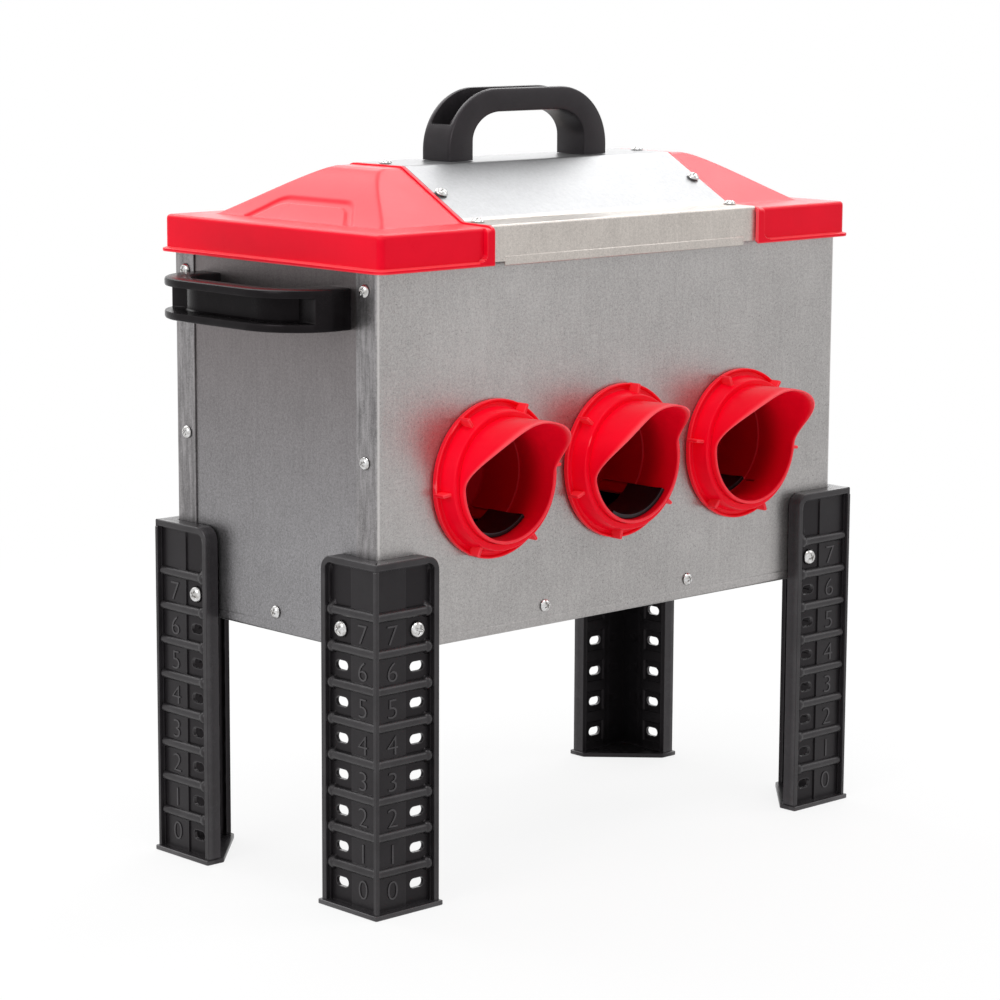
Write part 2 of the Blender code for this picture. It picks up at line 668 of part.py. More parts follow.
def leg_mesh(material):
    """A leg: an L of two ribbed and slotted arms about the hopper's corner, on a three-cornered foot.

    A notch under the top rim of each arm lets the leg pass the heads of the flange screws.

    Its own origin is on the floor under the hopper's corner; the arms run along +X and +Y from there.
    """
    edge = [(LEG_ARM, 0.0), (LEG_ARM, LEG_HEIGHT), (-LEG_STAND, LEG_HEIGHT)]
    edge = rounded(edge, LEG_TOP_RADIUS, 4)
    bm = bmesh.new()
    web = [(-LEG_FACE, 0.0)] + edge[:-1] + [(-LEG_FACE, LEG_HEIGHT)]
    pieces = [plate(bm, web, -LEG_FACE, -LEG_RECESS, "XZ")]
    pieces.append(plate(bm, strip(edge[::-1], LEG_RIM)[::-1], -LEG_STAND, -LEG_SEAT, "XZ"))
    pad_rise = (FOOT_HEIGHT / 2, LEG_HEIGHT - FIT)
    pieces.append(box(bm, (-PAD_FACE, PAD_WIDTH), (-PAD_FACE, -LEG_FACE + FIT), pad_rise))
    for row in range(ROWS):
        z = FIRST_ROW + (row + 0.5) * ROW_PITCH
        front = -LEG_FACE - RIB_STAND
        base = RIB_HEIGHT / 2
        crown = RIB_HEIGHT / 4
        root = -LEG_FACE + FIT
        section = [(root, z - base), (root, z + base), (front, z + crown), (front, z - crown)]
        pieces.append(plate(bm, section, -PAD_FACE, RIB_END, "YZ"))
    for piece in pieces:
        mirrored_arm(bm, piece)
    box(bm, (-LEG_STAND, -LEG_STAND + BEAD), (-LEG_STAND, -LEG_STAND + BEAD), (0.001, LEG_HEIGHT))
    out = LEG_STAND + FOOT_LIP
    tip = LEG_ARM + FOOT_LIP
    foot = [(-out, -out), (tip, -out), (tip, LEG_RIM / 4), (LEG_RIM / 4, tip), (-out, tip)]
    bmesh.ops.recalc_face_normals(bm, faces=bm.faces)
    item = add_object("leg", to_mesh(bm, "leg"), PART, material)
    base = bmesh.new()
    plate(base, foot, 0.0, FOOT_HEIGHT, "XY")
    boolean(item, "UNION", base, self_crossing=True)
    slots = bmesh.new()
    for row in range(ROWS):
        height = FIRST_ROW + row * ROW_PITCH
        slot = plate(slots, slot_outline(height), -LEG_FACE - FIT, -LEG_RECESS + FIT, "XZ")
        mirrored_arm(slots, slot)
    reach = HEAD_RADIUS + LEG_NOTCH_MARGIN
    across = (FLANGE_SCREW_INSET - reach, FLANGE_SCREW_INSET + reach)
    notch = box(slots, across, (-LEG_RECESS, 0.0), (LEG_HEIGHT - 2 * LEG_RIM, LEG_HEIGHT + LEG_RIM))
    mirrored_arm(slots, notch)
    boolean(item, "DIFFERENCE", slots)
    return baked(item)


def build_legs():
    """Four legs about the hopper's corners, each held by two screws in its top row of slots."""
    mesh = leg_mesh(LEG_BLACK)
    screw = screw_mesh(LEG_SCREW_RADIUS, LEG_FACE + FIT - LEG_SEAT, LEG_HEAD_RADIUS, LEG_HEAD_HEIGHT)
    corners = (
        ("front_left", -1, -1, 0),
        ("front_right", 1, -1, 90),
        ("back_right", 1, 1, 180),
        ("back_left", -1, 1, 270),
    )
    for name, x, y, degrees in corners:
        corner = Matrix.Translation((x * HALF_WIDTH, y * HALF_DEPTH, 0))
        turn = Matrix.Rotation(math.radians(degrees), 4, "Z")
        leg = add_object(f"leg_{name}", mesh, PART, LEG_BLACK)
        leg.matrix_world = corner @ turn
        places = (("front" if y < 0 else "back", 0), ("left" if x < 0 else "right", 1))
        for face, across in places:
            along_x = (degrees in (0, 180)) == (across == 0)
            local = (SLOT_INSET, -LEG_FACE, LAST_ROW) if along_x else (-LEG_FACE, SLOT_INSET, LAST_ROW)
            inward = (0, 1, 0) if along_x else (1, 0, 0)
            point = corner @ turn @ Vector(local)
            way = turn.to_3x3() @ Vector(inward)
            place_screw(f"leg_screw_{name}_{face}", screw, point, way, FIT, ZINC)


def hip_solid(bm, inset, drop):
    """The lid's hipped outline as a solid: skirt, ledge, slopes and ridge, offset inward for its hollow."""
    length = LID_HALF_LENGTH - inset
    depth = LID_HALF_DEPTH - inset
    bottom = LEDGE_EDGE - LID_SKIRT - drop
    box(bm, (-length, length), (-depth, depth), (bottom, LEDGE_EDGE - drop))
    levels = (
        (SLOPE_FOOT_X - drop / 4, SLOPE_FOOT_Y - drop / 4, LEDGE_FOOT - drop),
        (RIDGE_HALF_LENGTH - drop / 4, RIDGE_HALF_WIDTH - drop / 4, RIDGE - drop),
    )
    for half_x, half_y, z in levels:
        bm.normal_update()
        top = max(bm.faces, key=lambda face: face.calc_center_median().z)
        made = bmesh.ops.extrude_face_region(bm, geom=[top])["geom"]
        bmesh.ops.delete(bm, geom=[top], context="FACES_ONLY")
        for part in made:
            if isinstance(part, bmesh.types.BMVert):
                part.co = (math.copysign(half_x, part.co.x), math.copysign(half_y, part.co.y), z)
    bm.normal_update()
    hips = []
    skirts = []
    for edge in bm.edges:
        low, high = sorted((vertex.co.z for vertex in edge.verts))
        across = abs(edge.verts[0].co.x - edge.verts[1].co.x) < 1e-6
        if low > LEDGE_FOOT - drop - 1e-6 and (high - low > 1e-6 or (across and low > RIDGE - drop - 1e-6)):
            hips.append(edge)
        elif high < LEDGE_EDGE - drop + 1e-6 and high > bottom + 1e-6:
            skirts.append(edge)
    bmesh.ops.bevel(bm, geom=hips, offset=HIP_BEVEL, segments=3, profile=0.5, affect="EDGES")
    skirts = [edge for edge in skirts if edge.is_valid]
    bmesh.ops.bevel(bm, geom=skirts, offset=SKIRT_BEVEL, segments=2, profile=0.5, affect="EDGES")


def lid_screws():
    """Screws that hold the lid's sheet to its end caps: name, point on the sheet, direction in."""
    x = LID_SHEET_HALF_LENGTH - LID_SCREW_INSET
    run = SLOPE_FOOT_Y - RIDGE_HALF_WIDTH
    slope = LEDGE_FOOT + LID_SHEET_LIFT + RIDGE_RISE * (SLOPE_FOOT_Y - SLOPE_SCREW_Y) / run
    ledge = LEDGE_EDGE + LID_SHEET_LIFT + LEDGE_RISE * (LID_HALF_DEPTH - LEDGE_SCREW_Y) / LEDGE_FRONT
    screws = []
    for end, side in (("left", -1), ("right", 1)):
        screws.append((f"lid_screw_{end}_ridge", (side * x, 0, RIDGE + LID_SHEET_LIFT), (0, 0, -1)))
        for face, y in (("front", -1), ("back", 1)):
            into = (0, -y * RIDGE_RISE, -run)
            screws.append((f"lid_screw_{end}_{face}_slope", (side * x, y * SLOPE_SCREW_Y, slope), into))
            flat = (0, -y * LEDGE_RISE, -LEDGE_FRONT)
            screws.append((f"lid_screw_{end}_{face}_ledge", (side * x, y * LEDGE_SCREW_Y, ledge), flat))
    return screws


def lid_holes(end=None):
    """Holes for the lid's screws, for one end or for both."""
    return [(point, way) for name, point, way in lid_screws() if end is None or f"_{end}_" in name]


def cap_mesh(material):
    """The left end cap: a hollow hipped moulding with a lipped skirt, and a tongue under the lid's sheet."""
    bm = bmesh.new()
    hip_solid(bm, 0.0, 0.0)
    item = add_object("lid_cap", to_mesh(bm, "lid_cap"), PART, material)
    bottom = LEDGE_EDGE - LID_SKIRT
    inner_end = -LID_SHEET_HALF_LENGTH - FIT
    lip_x = LID_HALF_LENGTH + CAP_LIP
    lip_y = LID_HALF_DEPTH + CAP_LIP
    trim = bmesh.new()
    box(trim, (-lip_x, lip_x), (-lip_y, lip_y), (bottom, bottom + CAP_WALL))
    for side in (-1, 1):
        y = sorted((side * lip_y, side * (LID_HALF_DEPTH - CAP_WALL / 2)))
        box(trim, (inner_end - CAP_END_FLANGE, inner_end), y, (bottom, LEDGE_EDGE - FIT))
    boolean(item, "UNION", trim, self_crossing=True)
    hollow = bmesh.new()
    hip_solid(hollow, CAP_WALL, CAP_WALL)
    boolean(item, "DIFFERENCE", hollow)
    beyond = bmesh.new()
    tongue_end = inner_end + CAP_TONGUE
    box(beyond, (tongue_end, 2 * lip_x), (-2 * lip_y, 2 * lip_y), (0, 2 * RIDGE))
    boolean(item, "DIFFERENCE", beyond)
    sides = bmesh.new()
    for side in (-1, 1):
        y = sorted((side * 2 * lip_y, side * (LID_HALF_DEPTH - 1.5 * CAP_WALL)))
        box(sides, (inner_end, tongue_end + CAP_TONGUE), y, (0, 2 * RIDGE))
    boolean(item, "DIFFERENCE", sides)
    path = [(-END_GROOVE_FOOT, END_GROOVE_START), (-END_GROOVE_TOP, END_GROOVE_RISE)]
    path += [(END_GROOVE_TOP, END_GROOVE_RISE), (END_GROOVE_FOOT, END_GROOVE_START)]
    groove = bmesh.new()
    outline = strip(rounded(path, END_GROOVE_WIDTH, 2), END_GROOVE_WIDTH)
    cut = plate(groove, outline, -END_GROOVE_DEPTH, CAP_WALL, "XY")
    rise = RIDGE - LEDGE_FOOT
    run = SLOPE_FOOT_X - RIDGE_HALF_LENGTH
    tilt = Matrix.Rotation(-math.atan2(rise, run), 4, "Y") @ Matrix.Rotation(math.radians(-90), 4, "Z")
    placed = Matrix.Translation((-SLOPE_FOOT_X, 0, LEDGE_FOOT)) @ tilt
    bmesh.ops.transform(groove, matrix=placed, verts=cut)
    boolean(item, "DIFFERENCE", groove)
    return baked(item)


def build_lid():
    """Two end caps, the sheet that joins them, and their screws."""
    cap = cap_mesh(RED)
    hole = SCREW_RADIUS + SCREW_CLEARANCE
    for name, degrees in (("left", 0), ("right", 180)):
        item = add_object(f"lid_cap_{name}", cap, PART, RED)
        item.matrix_world = Matrix.Rotation(math.radians(degrees), 4, "Z")
        drilled(item, lid_holes(name), hole, SCREW_SIDES)
    lift = LID_SHEET_LIFT
    bottom = LEDGE_EDGE - LID_SKIRT + CAP_WALL
    half = [(-LID_HALF_DEPTH, bottom), (-LID_HALF_DEPTH, LEDGE_EDGE + lift)]
    half += [(-SLOPE_FOOT_Y, LEDGE_FOOT + lift), (-RIDGE_HALF_WIDTH, RIDGE + lift)]
    path = half + [(-y, z) for y, z in half[::-1]]
    bm = bmesh.new()
    length = (-LID_SHEET_HALF_LENGTH, LID_SHEET_HALF_LENGTH)
    plate(bm, strip(rounded(path, LID_SHEET_BEND, 3), SHEET), *length, "YZ")
    sheet = add_object("lid_sheet", to_mesh(bm, "lid_sheet"), PART, GALVANISED)
    hem = bmesh.new()
    for side in (-1, 1):
        run = (-LID_SHEET_HALF_LENGTH + HEM_END, LID_SHEET_HALF_LENGTH - HEM_END)
        y = sorted((side * LID_HALF_DEPTH, side * (LID_HALF_DEPTH - 2 * SHEET)))
        box(hem, run, y, (bottom - HEM_HEIGHT, bottom + HEM_HEIGHT))
    boolean(sheet, "UNION", hem)
    holes = lid_holes() + [(point, way) for name, point, way in handle_screws()]
    drilled(sheet, holes, hole, SCREW_SIDES)
    screw = screw_mesh()
    for name, point, direction in lid_screws():
        place_screw(name, screw, point, direction, FIT, ZINC)


def handle_path(half_length, reach, corner, grow=0.0):
    """The arch of a handle as (along, out) points from foot to foot, with quarter-ellipse shoulders."""
    side = half_length + grow
    top = reach + grow
    radii = (corner[0] + grow, corner[1] + grow)
    right = corner_arc((side - corner[0] - grow, top - corner[1] - grow), radii, 0, 6)
    return [(side, 0.0)] + right + [(-x, z) for x, z in right[::-1]] + [(-side, 0.0)]


def handle_mesh(name, sizes, material):
    """A handle: an arch of channel section, open outward between two cheeks above its solid feet.

    It lies in its own XZ plane with its feet at z = 0.
    """
    half_length, reach, width, cheek = sizes
    hollow = (half_length - HANDLE_LEG, reach - HANDLE_GRIP, HANDLE_INNER_CORNER)
    outer = handle_path(half_length, reach, HANDLE_OUTER_CORNER)
    inner = handle_path(*hollow)
    bm = bmesh.new()
    plate(bm, outer + inner[::-1], -width / 2, width / 2, "XZ")
    item = add_object(name, to_mesh(bm, name), PART, material)
    beyond = handle_path(half_length, reach, HANDLE_OUTER_CORNER, HANDLE_WEB)
    floor = handle_path(*hollow, HANDLE_WEB)
    channel = bmesh.new()
    plate(channel, beyond + floor[::-1], -width / 2 + cheek, width / 2 - cheek, "XZ")
    geometry = channel.verts[:] + channel.edges[:] + channel.faces[:]
    foot = (0, 0, HANDLE_FOOT)
    bmesh.ops.bisect_plane(channel, geom=geometry, plane_co=foot, plane_no=(0, 0, 1), clear_inner=True)
    bmesh.ops.holes_fill(channel, edges=channel.edges)
    boolean(item, "DIFFERENCE", channel)
    return baked(item)


def handle_screws():
    """Screws from under the lid's sheet into its handle's feet: name, point under the sheet, direction in."""
    under = RIDGE + LID_SHEET_LIFT - SHEET
    screws = []
    for name, x in (("left", -1), ("right", 1)):
        screws.append((f"handle_screw_{name}", (x * HANDLE_SCREW_X, 0, under), (0, 0, 1)))
    return screws


def build_handles():
    """A handle screwed to the lid's ridge from below, and a longer one on each side panel."""
    lid = add_object("lid_handle", handle_mesh("lid_handle", LID_HANDLE, BLACK), PART, BLACK)
    lid.matrix_world = Matrix.Translation((0, 0, RIDGE + LID_SHEET_LIFT + FIT))
    bores = [(point, way) for name, point, way in handle_screws()]
    drilled(lid, bores, SCREW_RADIUS + SCREW_CLEARANCE, SCREW_SIDES)
    screw = screw_mesh()
    for name, point, direction in handle_screws():
        place_screw(name, screw, point, direction, FIT, ZINC)
    mesh = handle_mesh("side_handle", SIDE_HANDLE, BLACK)
    height = BODY_TOP - SIDE_HANDLE_DROP
    for name, x in (("left", -1), ("right", 1)):
        side = add_object(f"side_handle_{name}", mesh, PART, BLACK)
        foot = Matrix.Translation((x * (SIDE_FACE + FIT), 0, height))
        along_y = Matrix.Rotation(math.radians(90), 4, "Z")
        out = Matrix.Rotation(math.radians(x * 90), 4, "Y")
        side.matrix_world = foot @ out @ along_y


def finish():
    """Shade the round pieces smooth, and bring the middle of the whole depth over the origin."""
    front = HALF_DEPTH + RIM_REACH + HOOD_REACH
    back = HALF_DEPTH + LEG_STAND + FOOT_LIP
    centred = Matrix.Translation((0, (front - back) / 2, 0))
    for item in PART.objects[:] + CUTTERS.objects[:]:
        item.matrix_world = centred @ item.matrix_world
    for item in PART.objects:
        if item.name.startswith(("port_", "feed_gate", "lid_cap", "lid_handle", "side_handle")):
            item.data.shade_smooth()
            item.data.set_sharp_from_angle(angle=math.radians(35))


clear_scene()
PART = new_collection("poultry_feeder")
CUTTERS = new_collection("cutters")
GALVANISED = new_material("galvanised_sheet", (0.52, 0.53, 0.54), 0.38, 1.0)
ZINC = new_material("zinc_screw", (0.72, 0.73, 0.74), 0.25, 1.0)
RED = new_material("red_plastic", (0.80, 0.008, 0.018), 0.42, 0.0)
BLACK = new_material("black_plastic", (0.028, 0.026, 0.028), 0.45, 0.0)
LEG_BLACK = new_material("leg_plastic", (0.036, 0.034, 0.038), 0.5, 0.0)
build_panels()
build_screws()
build_ports()
build_legs()
build_lid()
build_handles()
finish()
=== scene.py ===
import math

import bmesh
import bpy
import numpy as np
from mathutils import Matrix, Vector


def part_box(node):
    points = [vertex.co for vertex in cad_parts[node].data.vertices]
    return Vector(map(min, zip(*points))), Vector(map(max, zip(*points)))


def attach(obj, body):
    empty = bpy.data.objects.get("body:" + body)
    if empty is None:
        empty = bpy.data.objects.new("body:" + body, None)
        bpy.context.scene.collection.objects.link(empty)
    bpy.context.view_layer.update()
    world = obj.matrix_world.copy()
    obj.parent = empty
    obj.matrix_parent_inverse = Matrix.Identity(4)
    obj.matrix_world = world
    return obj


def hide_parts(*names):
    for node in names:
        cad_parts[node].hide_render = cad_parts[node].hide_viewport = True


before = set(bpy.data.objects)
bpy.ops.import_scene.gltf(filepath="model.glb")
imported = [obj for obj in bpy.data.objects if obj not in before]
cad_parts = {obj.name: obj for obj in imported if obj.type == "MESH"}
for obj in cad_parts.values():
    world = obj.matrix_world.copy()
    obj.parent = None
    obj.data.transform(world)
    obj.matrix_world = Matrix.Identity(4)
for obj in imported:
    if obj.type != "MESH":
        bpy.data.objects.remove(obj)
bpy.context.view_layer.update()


# Front and back panels of the hopper
# Galvanised steel sheet 0.8 mm thick, bent round the corners of the hopper and turned in at the foot and
# at the top. Each is folded on a brake, which leaves a faint line beside the bend, and screwed to the sides.
SHEET = 0.0008
BEND = 0.002
CORNER_FLANGE = 0.021
CORNER_RELIEF = (0.003, 0.003)
FOOT_RETURN = 0.009
BEAD_RISE = 0.0065
BRAKE_LINE = 0.0085
SHEET_STEP = 0.004
PORT_X = (-0.1227, 0.0, 0.1227)
PORT_Z = 0.2861
PORT_HOLE = 0.0468
PORT_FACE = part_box("front_panel")[0][1]
FACING = {"left": (-1, 0, 0), "right": (1, 0, 0), "front": (0, -1, 0), "back": (0, 1, 0)}


class Wire:
    """A value that runs along a shader link: sums, differences and products add their Math nodes."""

    def __init__(self, nodes, socket):
        self.nodes = nodes
        self.socket = socket

    def math(self, operation, *values):
        return self.nodes.node("Math", {"operation": operation}, dict(enumerate(values or (self,))))

    def __add__(self, other):
        return self.math("ADD", self, other)

    def __radd__(self, other):
        return self.math("ADD", other, self)

    def __sub__(self, other):
        return self.math("SUBTRACT", self, other)

    def __rsub__(self, other):
        return self.math("SUBTRACT", other, self)

    def __mul__(self, other):
        return self.math("MULTIPLY", self, other)

    def __rmul__(self, other):
        return self.math("MULTIPLY", other, self)

    def step(self, low, high):
        """A smooth step: 0 at the low value, 1 at the high one."""
        values = {"Value": self, "From Min": low, "From Max": high}
        return self.nodes.node("MapRange", {"interpolation_type": "SMOOTHSTEP"}, values)


class Nodes:
    """A shader's nodes, each made by one method from its kind, its settings and its sockets."""

    def __init__(self, tree):
        self.tree = tree

    def join(self, value, socket):
        """Link a wire to a socket, or give the socket a plain value of its own."""
        if isinstance(value, Wire):
            self.tree.links.new(value.socket, socket)
        else:
            socket.default_value = value

    def node(self, kind, settings=None, values=None, output=0):
        made = self.tree.nodes.new("ShaderNode" + kind)
        for key, setting in (settings or {}).items():
            setattr(made, key, setting)
        for key, value in (values or {}).items():
            self.join(value, made.inputs[key])
        return Wire(self, made.outputs[output])


class Finish(Nodes):
    """A material with one Principled shader, whose colour, gloss and bump come from Object coordinates."""

    def __init__(self, name):
        self.material = bpy.data.materials.new(name)
        self.material.use_nodes = True
        super().__init__(self.material.node_tree)
        self.shader = self.tree.nodes["Principled BSDF"]
        self.place = self.node("TexCoord", output="Object")
        self.relief = None

    def feed(self, name, value):
        self.join(value, self.shader.inputs[name])

    def along(self, axis, vector=None):
        """One coordinate of the place, or of another vector."""
        return self.node("SeparateXYZ", {}, {"Vector": vector or self.place}, axis)

    def noise(self, scale, detail=2.0, roughness=0.5, place=None):
        values = {"Vector": place or self.place, "Scale": scale, "Detail": detail, "Roughness": roughness}
        return self.node("TexNoise", {}, values, "Fac")

    def stretched_noise(self, stretch, *sizes):
        """Noise drawn out by a factor along each axis."""
        return self.noise(*sizes, self.node("Mapping", {}, {"Vector": self.place, "Scale": stretch}))

    def blend(self, share, first, second):
        """A colour between two colours, each a wire or a tone."""
        first, second = (tone if isinstance(tone, Wire) else (*tone, 1.0) for tone in (first, second))
        return self.node("Mix", {"data_type": "RGBA"}, {0: share, 6: first, 7: second}, 2)

    def bump(self, height, distance):
        """Relief of a height pattern, in metres, laid over what is there already."""
        values = {"Height": height, "Distance": distance, "Strength": 1.0}
        if self.relief:
            values["Normal"] = self.relief
        self.relief = self.node("Bump", {}, values)
        self.feed("Normal", self.relief)


def tint(tone, *factors):
    """A tone with its channels multiplied by one factor, or by one each, and none of them past 1."""
    return tuple(np.minimum(np.multiply(tone, factors), 1.0))


def galvanised(name, tone, roughness, grain_share, shaded_part):
    """Zinc-coated steel: fine even grain, tiny dark pinholes, faint rolling streaks and broad soft clouding.

    The shaded part (axis, from, to, tone) says where, with distance from the middle, a darker tone takes
    over: painted shade.
    """
    finish = Finish(name)
    finish.feed("Metallic", 0.95)
    cloud = finish.noise(5.0)
    patch = finish.noise(40.0, 3.0, 0.55)
    rolled = finish.stretched_noise((1.0, 1.0, 0.10), 330.0, 3.0, 0.6)
    grain = finish.noise(1150.0, 3.0, 0.8)
    fleck = finish.noise(520.0, 3.0, 0.7)
    spot = finish.node("TexVoronoi", {}, {"Vector": finish.place, "Scale": 300.0}, "Distance")
    pinhole = spot.step(0.15, 0.05) * finish.noise(120.0, 1.0).step(0.46, 0.60)
    share = 0.5 + (cloud - 0.5) * 0.40 + (patch - 0.5) * 0.22 + (rolled - 0.5) * 0.22
    share = share + ((grain - 0.5) * 1.2 + (fleck - 0.5) * 0.75) * grain_share
    share = share - pinhole * (0.75 * grain_share)
    colour = finish.blend(share.step(0.0, 1.0), tint(tone, 0.66), tint(tone, 1.34))
    # The shaded part's tone is a darker copy of the same zinc: painted shade.
    axis, low, high, other = shaded_part
    off = finish.along(axis).math("ABSOLUTE")
    streak, spread = (1.2, 0.40) if axis == "X" else (0.3, 0.16)
    varied = finish.blend((share + (rolled - 0.5) * streak).step(0.0, 1.0), tint(other, 1 - spread),
                          tint(other, 1 + spread))
    colour = finish.blend(off.step(low, high), colour, varied)
    # On the X axis a pale line is painted just inside the flange's edge, at the bend: a painted highlight.
    if axis == "X":
        edge_highlight = off.step(low - 0.0020, low - 0.0008) - off.step(low - 0.0004, low + 0.0002)
        colour = finish.blend(edge_highlight * 0.6, colour, tint(tone, 1.7))
    finish.feed("Base Color", colour)
    finish.feed("Roughness", roughness + (fleck - 0.5) * 0.20 + (grain - 0.5) * 0.14 + (cloud - 0.5) * 0.10)
    finish.bump(fleck, 0.00012 * grain_share)
    finish.bump(grain - pinhole * 0.8, 0.00005 * grain_share)
    return finish.material


def lines(*runs):
    """Grid lines: each run (from, to, count) is evenly spaced, and the next goes on without a repeat."""
    values = np.concatenate([np.linspace(start, end, count) for start, end, count in runs])
    return values[np.concatenate([[True], np.diff(values) > 1e-7])]


def grid_of(x, y, z):
    """Points from their three coordinates, each an array or one number for all."""
    return np.stack(np.broadcast_arrays(x, y, z), axis=-1)


def quads(grid, wrap_rows=False, wrap_columns=False):
    """Corner indices of every cell of a grid, running on to the first row or column where it wraps."""
    index = np.arange(grid.shape[0] * grid.shape[1]).reshape(grid.shape[:2])
    if wrap_rows:
        index = np.vstack([index, index[:1]])
    if wrap_columns:
        index = np.hstack([index, index[:, :1]])
    return np.stack([index[:-1, :-1], index[1:, :-1], index[1:, 1:], index[:-1, 1:]], axis=-1)


def add(name, data):
    """A new object in the scene for a mesh, a lamp or a camera."""
    item = bpy.data.objects.new(name, data)
    bpy.context.scene.collection.objects.link(item)
    return item


def new_piece(name, patches, material, body, stands_for=(), closed=True, sharp=40.0):
    """A mesh from patches of (points, faces): points within a hundredth of a millimetre are merged.

    Closed pieces have their faces turned outward; edges past the sharp angle are kept crisp.
    """
    starts = np.cumsum([0] + [points.size // 3 for points, _ in patches[:-1]])
    points = np.concatenate([points.reshape(-1, 3) for points, _ in patches])
    faces = np.concatenate([faces.reshape(-1, 4) + start for (_, faces), start in zip(patches, starts)])
    mesh = bpy.data.meshes.new(name)
    mesh.from_pydata(points.tolist(), [], faces.tolist())
    bm = bmesh.new()
    bm.from_mesh(mesh)
    bmesh.ops.remove_doubles(bm, verts=bm.verts, dist=1e-5)
    bmesh.ops.dissolve_degenerate(bm, edges=bm.edges, dist=1e-6)
    if closed:
        bmesh.ops.recalc_face_normals(bm, faces=bm.faces)
    bm.to_mesh(mesh)
    bm.free()
    mesh.materials.append(material)
    mesh.shade_smooth()
    mesh.set_sharp_from_angle(angle=math.radians(sharp))
    item = add(name, mesh)
    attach(item, body)
    if stands_for:
        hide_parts(*stands_for)
    return item


def walled(item, thickness):
    """Give an open surface its thickness on the side away from its normals, with a crisp rim."""
    mesh = item.data
    edge_of = np.empty(len(mesh.loops), dtype=np.int32)
    mesh.loops.foreach_get("edge_index", edge_of)
    crisp = mesh.attributes.get("sharp_edge") or mesh.attributes.new("sharp_edge", "BOOLEAN", "EDGE")
    sharp = np.empty(len(mesh.edges), dtype=bool)
    crisp.data.foreach_get("value", sharp)
    crisp.data.foreach_set("value", sharp | (np.bincount(edge_of, minlength=len(sharp)) == 1))
    wall = item.modifiers.new("wall", "SOLIDIFY")
    wall.thickness = thickness
    wall.offset = -1.0
    wall.use_even_offset = True


def turned_about_z(points, degrees, place):
    """Points turned about the upright axis, then moved to a place."""
    cosine, sine = math.cos(math.radians(degrees)), math.sin(math.radians(degrees))
    matrix = np.array([[cosine, -sine, 0.0], [sine, cosine, 0.0], [0.0, 0.0, 1.0]])
    return points @ matrix.T + np.asarray(place)


def folded(distance, half):
    """Where a distance laid off on the flat sheet comes to lie: along the face up to the bend, round a
    quarter circle, then straight inward. Gives the place along the face and the depth behind it."""
    beyond = np.abs(distance) - (half - BEND)
    angle = np.clip(beyond / BEND, 0.0, math.pi / 2)
    along = np.minimum(np.abs(distance), half - BEND) + BEND * np.sin(angle)
    depth = BEND * (1 - np.cos(angle)) + np.maximum(beyond - BEND * math.pi / 2, 0.0)
    return np.sign(distance) * along, depth


def panel_lines(half, flange):
    """Grid lines across a folded sheet: even on the face, close together round the bends."""
    start = half - BEND
    end = start + BEND * math.pi / 2
    last = end + flange - BEND
    face = int(2 * start / SHEET_STEP)
    return lines((-last, -end, 6), (-end, -start, 6), (-start, start, face), (start, end, 6), (end, last, 6))


def panel_patch(width, z_low, z_high, flange, relief, mouths):
    """A folded sheet between two heights: a face width across and up, both bent inward at their ends.

    The face lies in the plane y = 0 with its outer side to -Y. A bead is pressed along it above the foot,
    and a line marks it beside the side bends: each is a bell curve, e to the power -(distance / width)^2.
    """
    half_width, half_height = width / 2, (z_high - z_low) / 2
    bead_place = BEAD_RISE - half_height
    across = panel_lines(half_width, flange) if flange else np.linspace(-half_width, half_width, 54)
    up = [panel_lines(half_height, FOOT_RETURN), bead_place + np.linspace(-0.0014, 0.0014, 9)]
    u, v = np.meshgrid(across, np.unique(np.concatenate(up)), indexing="ij")
    x, depth_x = folded(u, half_width) if flange else (u, 0.0)
    z, depth_z = folded(v, half_height)
    bead = 0.0003 * np.exp(-((v - bead_place) / 0.0006) ** 2)
    brake = 0.00012 * np.exp(-((half_width - BRAKE_LINE - np.abs(u)) / 0.0007) ** 2)
    points = grid_of(x, depth_x + depth_z + bead + brake, z + (z_low + z_high) / 2)
    cells = quads(u)
    middle = points.reshape(-1, 3)[cells].mean(axis=2)
    middle_u, middle_v = (np.abs(flat.reshape(-1)[cells].mean(axis=2)) for flat in (u, v))
    keep = ~((middle_u > half_width - relief[0]) & (middle_v > half_height - relief[1]))
    for mouth in mouths:
        keep &= np.hypot(middle[..., 0] - mouth, middle[..., 2] - PORT_Z) > PORT_HOLE
    return points, cells[keep]


def hopper_panel(side, degrees, flange, relief, finish, mouths=()):
    """A panel of the hopper: its folded sheet turned to its side and set on its node's outer face."""
    low, high = np.array(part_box(side + "_panel"))
    facing = np.array(FACING[side])
    width = (high - low)[0 if facing[1] else 1]
    face = (low + high) / 2 + facing * (high - low) / 2
    points, cells = panel_patch(width, low[2], high[2], flange, relief, mouths)
    placed = turned_about_z(points, degrees, (face[0], face[1], 0.0))
    sheet = new_piece(side + "_panel_sheet", [(placed, cells)], finish, "hopper",
                      (side + "_panel",), closed=False)
    walled(sheet, SHEET)


# Past 0.2254 m from the middle, on the flanges round the corners, the panels take a darker tone: painted
# shade on faces turned from the light, with a painted highlight along each bend.
panel_zinc = galvanised("galvanised_panel", (0.380, 0.366, 0.360), 0.33, 1.0,
                        ("X", 0.2254, 0.2259, (0.25, 0.240, 0.243)))
hopper_panel("front", 0, CORNER_FLANGE, CORNER_RELIEF, panel_zinc, PORT_X)
hopper_panel("back", 180, CORNER_FLANGE, CORNER_RELIEF, panel_zinc)


# Side panels and bottom pan
# Flat sheets of the same steel, tucked behind the flanges of the front and back panels, and a tray-shaped
# floor inside them. The side panels are turned in at the foot and at the top.
SIDE_RELIEF = (0.0118, 0.003)
